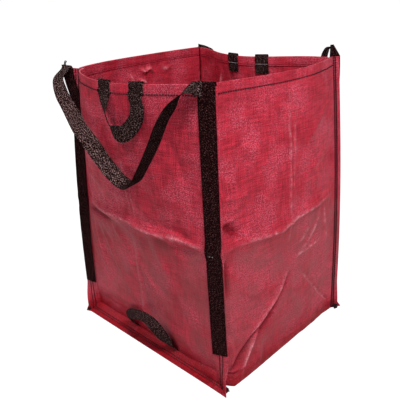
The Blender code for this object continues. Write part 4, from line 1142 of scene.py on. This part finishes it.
BACK_LIFT_LOOP = point_pairs([
    (203, 240, 764, 200, 262, 759), (194, 243, 757, 190, 274, 750), (185, 247, 743, 182, 283, 739),
    (178, 251, 719, 175, 288, 716), (166, 255, 690, 164, 293, 687), (146, 259, 650, 146, 297, 645),
    (112, 262, 600, 115, 300, 592), (62, 262, 548, 64, 300, 540), (-10, 262, 518, -10, 300, 510),
    (-72, 266, 532, -74, 304, 524), (-128, 272, 580, -132, 310, 572), (-176, 276, 636, -182, 313, 629),
    (-208, 278, 686, -216, 312, 672), (-240, 280, 729, -240, 306, 702), (-262, 280, 739, -256, 298, 708),
    (-284, 280, 744, -282, 288, 711),
])
FRONT_HANDLE = point_pairs([
    (-35, -301, 705, 3, -299, 705), (-27, -303, 688, 7, -309, 692), (-17, -301, 660, 10, -319, 670),
    (-6, -299, 632, 19, -318, 648), (10, -302, 612, 26, -306, 645), (34, -303, 606, 34, -303, 645),
    (60, -298, 614, 44, -302, 648), (86, -292, 636, 56, -300, 658), (104, -288, 664, 66, -296, 672),
    (104, -285, 690, 66, -291, 690), (98, -284, 705, 60, -290, 705),
])
BOTTOM_HANDLE = point_pairs([
    (-104, -250, 44, -66, -250, 40), (-95, -257, 66, -58, -264, 56), (-72, -262, 90, -40, -280, 78),
    (-40, -263, 106, -16, -291, 100), (0, -263, 116, 10, -298, 116), (36, -262, 118, 36, -298, 123),
    (60, -260, 109, 52, -295, 117), (80, -256, 91, 66, -289, 99), (92, -250, 67, 66, -275, 73),
    (95.5, -246, 42, 58.5, -254, 44),
])
JOINTS = {joint["name"]: joint for joint in frame["joints"]}


def joint_axis(name):
    """A joint's place and its direction, pointing to the right or left as written in the record."""
    joint = JOINTS[name]
    return np.array(joint["pos_m"], float), unit(np.array(joint["axis"], float))


def axis_point(name, x):
    """The point of a joint's axis at a given x."""
    place, direction = joint_axis(name)
    return place + direction * ((x - place[0]) / direction[0])


def side_pair(name, x):
    """The left and right corner of a loop's end on its joint's axis."""
    return np.array([axis_point(name, x - HALF_WEBBING), axis_point(name, x + HALF_WEBBING)])


def in_front(pair):
    """A pair of points of the front loop, moved together along the slant to clear the panel."""
    for _ in range(4):
        short = 0.0
        for point in pair:
            share = leg_share(front, point[0], point[2])
            surface = front.wall_points(np.array([share]), np.array([point[2]]))[0, 1]
            short = max(short, point[1] - surface + LOOP_CLEARANCE)
        pair = pair + LOOP_SLANT * short
    return pair


# The front lift loop goes on from the tops of both front straps
place, direction = joint_axis("front_lift_loop_swing")
forward = unit(np.cross(up(1.0), direction))
forward = forward if forward[1] < 0 else -forward
strap_inner, strap_outer, _ = strap_edge_points("front_left", BAG_HEIGHT)
strap_end = np.array([strap_outer, strap_inner])
on_axis = side_pair("front_lift_loop_swing", (strap_inner[0] + strap_outer[0]) / 2)
pairs = [strap_end, (strap_end + on_axis) / 2 + up(0.0080), on_axis + forward * 0.0004,
         *(in_front(pair) for pair in FRONT_LIFT_LOOP), FRONT_LOOP_END]
# past the loop's low point its flecks fade: painted shade on the leg that faces down
item = tape("front_loop_tape", "front_lift_loop", edges_through(pairs), None, seed=21.0, turned=0.53)
tuple(place - forward * 0.006)
tuple(place + forward * 0.0002)
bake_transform(item)

# The back lift loop goes on from the fold above the back right strap and the back left strap's top
fold_start = strap_edge_points("back_right", BAG_HEIGHT + CORNERS["back_right"]["rise"] - 0.005)[:2]
left_end = axis_point("back_lift_loop_swing", strap_edge_points("back_left", BAG_HEIGHT)[1][0])
pairs = [fold_start, *BACK_LIFT_LOOP, (left_end, left_end - up(WEBBING_WIDTH))]
tape("back_loop_tape", "back_lift_loop", edges_through(pairs), "back_lift_loop_body", seed=27.0)


def wall_layer(panel, share, level, offset):
    """Points that stand off a panel's wall at shares and heights."""
    share, level = (np.array(v, float) for v in np.broadcast_arrays(share, level))
    step = 0.002
    right = (panel.wall_points(np.minimum(share + step, 1), level)
             - panel.wall_points(np.maximum(share - step, 0), level))
    upward = (panel.wall_points(share, np.minimum(level + step, BAG_HEIGHT))
              - panel.wall_points(share, level - step))
    normal = unit(np.cross(right, upward))
    if np.mean(normal @ panel.out) < 0:
        normal = -normal
    return panel.wall_points(share, level) + normal * offset


# How far the outer face of the cloth and the inner face of its hem stand off the joint surface
CLOTH_OUTSIDE = PANEL_LAYER + FABRIC / 2
TAIL_OUTER = CLOTH_OUTSIDE + 0.0003
TAIL_INNER = -(HEM_LAYER + FABRIC / 2 + 0.0006)


def tail_edges(panel, leg):
    """A rim handle's sewn end: down inside the bag, over the hem and down to the hem's stitches."""
    inside, outside = TAIL_INNER - TAPE_THICKNESS / 2, TAIL_OUTER + TAPE_THICKNESS / 2
    edges = []
    for share in leg_shares(panel, leg, BAG_HEIGHT):
        low = [wall_layer(panel, share, BAG_HEIGHT - below, inside) for below in
               (TAIL_INSIDE - 0.005, 0.039, 0.032, 0.025, 0.018, 0.011, 0.005)]
        rim_in = wall_layer(panel, share, BAG_HEIGHT, inside)
        rim_out = wall_layer(panel, share, BAG_HEIGHT, outside)
        arch = [(rim_in + rim_out) / 2 - (rim_out - rim_in) * (0.5 * math.cos(math.pi * turn))
                + up(0.0008 + 0.0062 * math.sin(math.pi * turn)) for turn in (0.0, 0.25, 0.5, 0.75, 1.0)]
        high = [wall_layer(panel, share, BAG_HEIGHT - below, outside) for below in
                (0.004, 0.008, 0.012, TAIL_OUTSIDE + 0.001)]
        edges.append(low + arch + high)
    return edges


def rim_handle(panel, legs, pairs, seed):
    """A rim handle's two sewn ends and its loop."""
    name = f"{panel.wall}_rim_handle"
    ends = []
    for which, leg in zip(("left", "right"), legs):
        near, far = tail_edges(panel, leg)
        tape(f"{name}_{which}_sewn_end", f"{name}_{which}_tail", (near, far), "bag",
             seed=seed + len(ends), face=0.42)
        ends.append((near[-1], far[-1]))
    place, direction = joint_axis(name + "_swing")
    out = unit(panel.out - direction * float(panel.out @ direction))
    edges = edges_through([ends[0], *pairs, ends[1][::-1]])
    item = tape(name + "_tape", name, edges, None, seed=seed + 5, face=0.55)
    down = unit(out * 0.5 - up(1.0))
    tuple(place - down * 0.004)
    tuple(place + down * 0.003)
    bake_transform(item)


def handle_ends(joint, legs):
    """A handle's two legs on its joint's axis, and half the webbing's width along it."""
    start, end = (axis_point(joint, leg) for leg in legs)
    return start, end, unit(end - start) * HALF_WEBBING


def arch_pairs(joint, legs, outward, drop=-0.105, stand_off=0.012, turn_start=0.35):
    """The pairs of edge points of a plain handle whose webbing turns edge-on to the wall."""
    start, end, aside = handle_ends(joint, legs)
    result = [(start - aside, start + aside)]
    samples = 10
    for i in range(1, samples):
        angle = math.pi * i / samples
        depth = math.sin(angle) ** 0.8
        lean = outward * (HALF_WEBBING * float(smooth((depth - turn_start) * 2)) + stand_off * depth)
        middle = start + (end - start) * ((1 - math.cos(angle)) / 2) + up(drop * depth) + lean
        edge_on = float(smooth((math.sin(angle) - turn_start) * 1.6))
        along = aside / HALF_WEBBING * (-1 if angle > math.pi / 2 else 1)
        across = unit(along * (1 - edge_on) + outward * edge_on) * HALF_WEBBING
        result.append((middle - across, middle + across))
    return result + [(end + aside, end - aside)]


swing = "front_rim_handle_swing"
left_leg, right_leg = (side_pair(swing, leg) for leg in FRONT_HANDLE_LEGS)
rim_handle(front, FRONT_HANDLE_LEGS, [left_leg, *FRONT_HANDLE, right_leg[::-1]], 33.0)
rim_handle(back, BACK_HANDLE_LEGS, arch_pairs("back_rim_handle_swing", BACK_HANDLE_LEGS, back.out), 39.0)


def tucked_edge(share):
    """One edge of a sewn end of the bottom handle, tucked under the folded margin."""
    column, line = 3 + share, []
    for row in (2.30, 2.55, 2.8, 3.0, 3.0 + TUCK_RISE / 2, 3.0 + TUCK_RISE):
        right = front.place(column + 0.004, row) - front.place(column - 0.004, row)
        upward = (front.place(column, row + (0.1 if row < 3 else 0.003))
                  - front.place(column, row - (0.1 if row <= 3 else 0.003)))
        normal = unit(np.cross(right, upward))
        normal = normal if normal @ front.out > 0 or normal[2] > 0.5 else -normal
        line.append(front.place(column, row) + normal * (CLOTH_OUTSIDE + SLIT + TAPE_THICKNESS / 2))
    return line


tuck_ends = []
for which, leg in zip(("left", "right"), BOTTOM_HANDLE_LEGS):
    near, far = (tucked_edge(share) for share in leg_shares(front, leg, KICK_HEIGHT))
    tape(f"bottom_handle_{which}_sewn_end", f"bottom_handle_{which}_end", (near, far), "bag",
         seed=50.0 + leg, face=0.5)
    tuck_ends.append((near[-1], far[-1]))
start, end, aside = handle_ends("bottom_handle_swing", BOTTOM_HANDLE_LEGS)
pairs = [tuck_ends[0], (start - aside, start + aside), *BOTTOM_HANDLE, (end + aside, end - aside),
         tuck_ends[1][::-1]]
item = tape("bottom_handle_tape", "bottom_handle", edges_through(pairs), None, seed=61.0, face=0.5)
place, _ = joint_axis("bottom_handle_swing")
rise_way = unit(np.array([0, -0.35, 1.0]))
tuple(place - rise_way * 0.003)
tuple(place + rise_way * 0.003)
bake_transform(item)


# ---------------------------------------------------------------- stitching
def stitches(name, line, normals, replaced=None, material=thread, pitch=0.0062, length=0.0056,
             radius=0.0008):
    """A row of stitches along a line of points, each one a short thread that sinks at both ends."""
    line, normals = np.array(line, float), np.array(normals, float)
    distance = distances(line)
    count = max(int(distance[-1] / pitch), 1)
    vertices, faces = [], []
    rings, sides = 5, 6

    def at(values, d):
        return np.array([np.interp(d, distance, values[:, k]) for k in range(3)])

    for number in range(count):
        middle = (number + 0.5) * distance[-1] / count
        size = 1 + 0.10 * noise.noise(Vector((number * 0.37, 3.0, 8.0)))
        base = len(vertices)
        for ring in range(rings):
            t = ring / (rings - 1)
            here = middle + (t - 0.5) * length * size
            point, normal = at(line, here), unit(at(normals, here))
            side = unit(np.cross(unit(at(line, here + 0.0004) - point), normal))
            height = radius * (0.9 * math.sin(math.pi * t) - 0.25)
            thin = radius * (0.62 + 0.38 * math.sin(math.pi * t)) * size
            for angle in 2 * math.pi * np.arange(sides) / sides:
                above, aside = height + thin * math.sin(angle), thin * math.cos(angle)
                vertices.append(point + normal * above + side * aside)
        faces += tube_faces(base, rings, sides)
    item = add_object(name, vertices, faces, None, material, "bag", 80)
    if replaced:
        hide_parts(replaced)


def tube_faces(base, rings, sides):
    """The faces of a closed tube whose vertices start at a number."""
    faces = []
    for ring in range(rings - 1):
        for k in range(sides):
            a, b = base + ring * sides + k, base + ring * sides + (k + 1) % sides
            faces.append([a, a + sides, b + sides, b])
    end = base + (rings - 1) * sides
    return faces + [[base + k for k in range(sides)], [end + k for k in range(sides - 1, -1, -1)]]


for panel in (front, back):
    joint, lift, heights = margins[panel.wall]
    for which, ring in (("inner", 2.0), ("outer", 1.0)):
        column = ring_index(ring)
        line = joint[:, column] + lift[:, column] * (heights[:, column] + FABRIC / 2)[:, None]
        stitches(f"{panel.wall}_seam_{which}_stitches", line, unit(lift[:, column]),
                 f"{panel.wall}_seam_{which}_thread", radius=0.0013)

# The same rows where they come through on the other face of the margin
for panel in (front, back):
    joint, lift, _ = margins[panel.wall]
    for side in ("left", "right"):
        rungs = [i for i, (name, value) in enumerate(PATH) if name == side and value >= 2.2]
        for which, ring in (("inner", 1.94), ("outer", 1.0)):
            column = ring_index(ring)
            line = joint[rungs, column] - lift[rungs, column] * FABRIC
            stitches(f"{panel.wall}_{side}_{which}_stitches_through", line, -unit(lift[rungs, column]),
                     radius=0.0021)


def across_panel(panel, shares, below, offset, further):
    """A line across a panel at a depth below the rim, with its normals."""
    level = np.full_like(shares, BAG_HEIGHT - below)
    line = wall_layer(panel, shares, level, offset)
    return line, unit(wall_layer(panel, shares, level, further) - line)


HEM_STITCH = {"pitch": 0.0068, "length": 0.0046, "radius": 0.0015}
for panel in (front, back):
    shares = np.linspace(0.004, 0.996, 200)
    line, normals = across_panel(panel, shares, HEM, CLOTH_OUTSIDE, CLOTH_OUTSIDE + 0.001)
    stitches(f"{panel.wall}_hem_stitches", line, normals, f"{panel.wall}_hem_thread", **HEM_STITCH)
for wall, sign in (("left", -1), ("right", 1)):
    level = np.full(200, BAG_HEIGHT - HEM)
    line, above = (bulged(wall, seam_points("front_" + wall, z), seam_points("back_" + wall, z),
                          np.linspace(0.012, 0.988, 200), sign) for z in (level, level + 0.004))
    out = unit(np.cross(np.gradient(line, axis=0), above - line))
    out = out if np.mean(out[:, 0]) * sign > 0 else -out
    stitches(f"{wall}_hem_stitches", line + out * (FABRIC / 2), out, f"{wall}_hem_thread", **HEM_STITCH)


def thread_tube(points, radius, sides=6):
    """Vertices and faces of a thread along a path."""
    run = unit(np.gradient(points, axis=0))
    side = unit(np.cross(run, np.array([0.31, 0.53, 0.79])))
    other = np.cross(run, side)
    vertices = []
    for i, point in enumerate(points):
        thin = radius * (0.55 if i in (0, len(points) - 1) else 1.0)
        for angle in 2 * math.pi * np.arange(sides) / sides:
            vertices.append(point + side[i] * thin * math.cos(angle) + other[i] * thin * math.sin(angle))
    return vertices, tube_faces(0, len(points), sides)


# Knots where the rows of stitches end: a place, then in millimetres the knot's centre from there and
# its size, then its seed, and in millimetres the radius of its loose tails and the points of each
KNOTS = {
    "front_right_knot": (front.place(6.35, 0.65), (3, 6, 6), (4.5, 4.5, 4.2), 1.0, 0.8, (
        ((0, 4, 6), (4, 2, 3.5), (1, -4, 2.2), (-4, -6, 2.2)),)),
    "front_left_knot": (front.place(0.5, 0.5), (-1, -2, 5.2), (4.0, 3.8, 3.2), 2.3, 0.8, (
        ((0, 0, 5), (-4, 4, 8), (-3, 8, 11)),)),
    "back_right_knot": (back.place(0.9, 0.9), (3, -4, 6), (6.2, 5.6, 5.2), 3.1, 0.8, (
        ((2, -2, 6), (7, -6, 3.5), (6, -14, 1.8)),)),
    "back_left_knot": (back.place(6.4, 0.6), (-1, 2, 5.2), (4.0, 3.8, 3.5), 4.4, 0.8, ()),
    "front_left_thread_end": ((strap_inner + strap_outer) / 2, (-8, -3, 6.2), (3.4, 2.6, 2.0), 5.2, 1.3, (
        ((-8, -3, 6), (-3, -3, 12), (2, -2, 18)), ((-8, -3, 6), (-6, -4, 13), (0, -4, 19)))),
}
turns = np.linspace(0, 2 * math.pi, 150)[:-1]
for name, (place, centre, size, seed, tail_radius, tails) in KNOTS.items():
    tubes = []
    for number in range(3):
        phase = seed + number * 2.1
        tangle = np.stack([np.sin(3 * turns + phase), np.sin(4 * turns + phase * 1.7),
                           np.sin(5 * turns + phase * 0.6)], -1)
        knot = place + np.array(centre) / 1000 + tangle * (np.array(size) / 1000) * (0.72 + 0.14 * number)
        tubes.append(thread_tube(knot, 0.0009))
    for tail in tails:
        tubes.append(thread_tube(curve_through(place + np.array(tail) / 1000), tail_radius / 1000))
    vertices, faces = [], []
    for tube, sides in tubes:
        faces += [[i + len(vertices) for i in face] for face in sides]
        vertices += tube
    add_object(name, vertices, faces, None, thread, "bag", 80)

# A few worn threads show where the front strap bends with the bag's middle fold
shares = np.linspace(0.20, 0.56, 12)
inner_edge, outer_edge, out = strap_edge_points("front_right", np.full_like(shares, 0.3665))
line = inner_edge + (outer_edge - inner_edge) * shares[:, None] + out * (TAPE_THICKNESS / 2)
stitches("front_right_strap_worn_threads", line, out, None, light_thread, 0.0046, 0.0026, 0.0008)

# Light thread crosses the webbing where the hem's stitches hold the handles' ends
LIGHT_ROWS = (("outer", TAIL_OUTER + TAPE_THICKNESS, 0.0155),
              ("outer_second", TAIL_OUTER + TAPE_THICKNESS, 0.0185),
              ("inner", TAIL_INNER - TAPE_THICKNESS, 0.0190))
for panel, legs in ((front, FRONT_HANDLE_LEGS), (back, BACK_HANDLE_LEGS)):
    for number, leg in enumerate(legs):
        shares = np.linspace(*leg_shares(panel, leg, BAG_HEIGHT - HEM, HALF_WEBBING - 0.001), 30)
        for title, offset, below in LIGHT_ROWS:
            line, normals = across_panel(panel, shares, below, offset, offset * 1.4)
            stitches(f"{panel.wall}_handle_{number + 1}_{title}_stitches", line, normals, None,
                     light_thread, 0.0042, 0.0036, 0.0006)


# ---------------------------------------------------------------- floor, light and camera
floor_mesh = bpy.data.meshes.new("studio_floor")
floor_mesh.from_pydata([(-60, -60, 0), (60, -60, 0), (60, 60, 0), (-60, 60, 0)], [], [(0, 1, 2, 3)])
floor = bpy.data.objects.new("studio_floor", floor_mesh)
bpy.context.scene.collection.objects.link(floor)
floor.location.z = -0.0002
floor_material = bpy.data.materials.new("pale_floor")
floor_material.use_nodes = True
tree = floor_material.node_tree
tree.nodes.clear()
diffuse = Value(add_node(tree, "ShaderNodeBsdfDiffuse", {0: (0.80, 0.80, 0.80)}).outputs[0])
glow = Value(add_node(tree, "ShaderNodeEmission", {0: (1.0, 1.0, 1.0), 1: 1.18}).outputs[0])
seen = Value(tree.nodes.new("ShaderNodeLightPath").outputs["Is Camera Ray"])
surface = made("ShaderNodeMixShader", {0: seen * 0.84, 1: diffuse, 2: glow})
add_node(tree, "ShaderNodeOutputMaterial", {0: surface})
floor_mesh.materials.append(floor_material)

world = bpy.data.worlds.new("studio")
bpy.context.scene.world = world
world.use_nodes = True
background = world.node_tree.nodes["Background"].inputs
rays = world.node_tree.nodes.new("ShaderNodeLightPath").outputs
camera_ray, glossy_ray, transmission_ray = (Value(rays[f"Is {kind} Ray"]) for kind in
                                            ("Camera", "Glossy", "Transmission"))
seen = calculate("MAXIMUM", camera_ray, calculate("MAXIMUM", glossy_ray, transmission_ray))
connect((1.0, 1.0, 1.0), background[0])
connect(0.23 + seen * 0.77, background[1])


def area_light(name, place, size, power, target=(0, 0, 0.40)):
    """A soft square lamp that points at the bag."""
    data = bpy.data.lights.new(name, "AREA")
    data.shape = "SQUARE"
    data.size = size
    data.energy = power
    item = bpy.data.objects.new(name, data)
    item.location = place
    item.rotation_mode = "QUATERNION"
    item.rotation_quaternion = (Vector(target) - Vector(place)).to_track_quat("-Z", "Y")
    bpy.context.scene.collection.objects.link(item)


area_light("key_light", (1.6, -0.76, 2.75), size=0.7, power=69)
area_light("front_light", (-0.9, -1.5, 2.7), size=0.8, power=18)
area_light("back_light", (-1.4, 1.9, 2.5), size=1.0, power=38)

# The camera, as solved from the bag's own edges
SENSOR_WIDTH, PICTURE_WIDTH, FOCAL_PIXELS = 36.0, 400, 488.84
camera_data = bpy.data.cameras.new("camera")
camera_data.sensor_width = SENSOR_WIDTH
camera_data.lens = FOCAL_PIXELS / PICTURE_WIDTH * SENSOR_WIDTH
camera = bpy.data.objects.new("camera", camera_data)
azimuth, elevation, roll = (math.radians(v) for v in (46.53, 23.19, -2.342))
camera.matrix_world = (Matrix.Translation((0.913, -0.901, 0.910)) @ Matrix.Rotation(azimuth, 4, "Z")
                       @ Matrix.Rotation(math.pi / 2 - elevation, 4, "X") @ Matrix.Rotation(roll, 4, "Z"))
bpy.context.scene.collection.objects.link(camera)
bpy.context.scene.camera = camera
bpy.context.scene.view_settings.view_transform = "Standard"
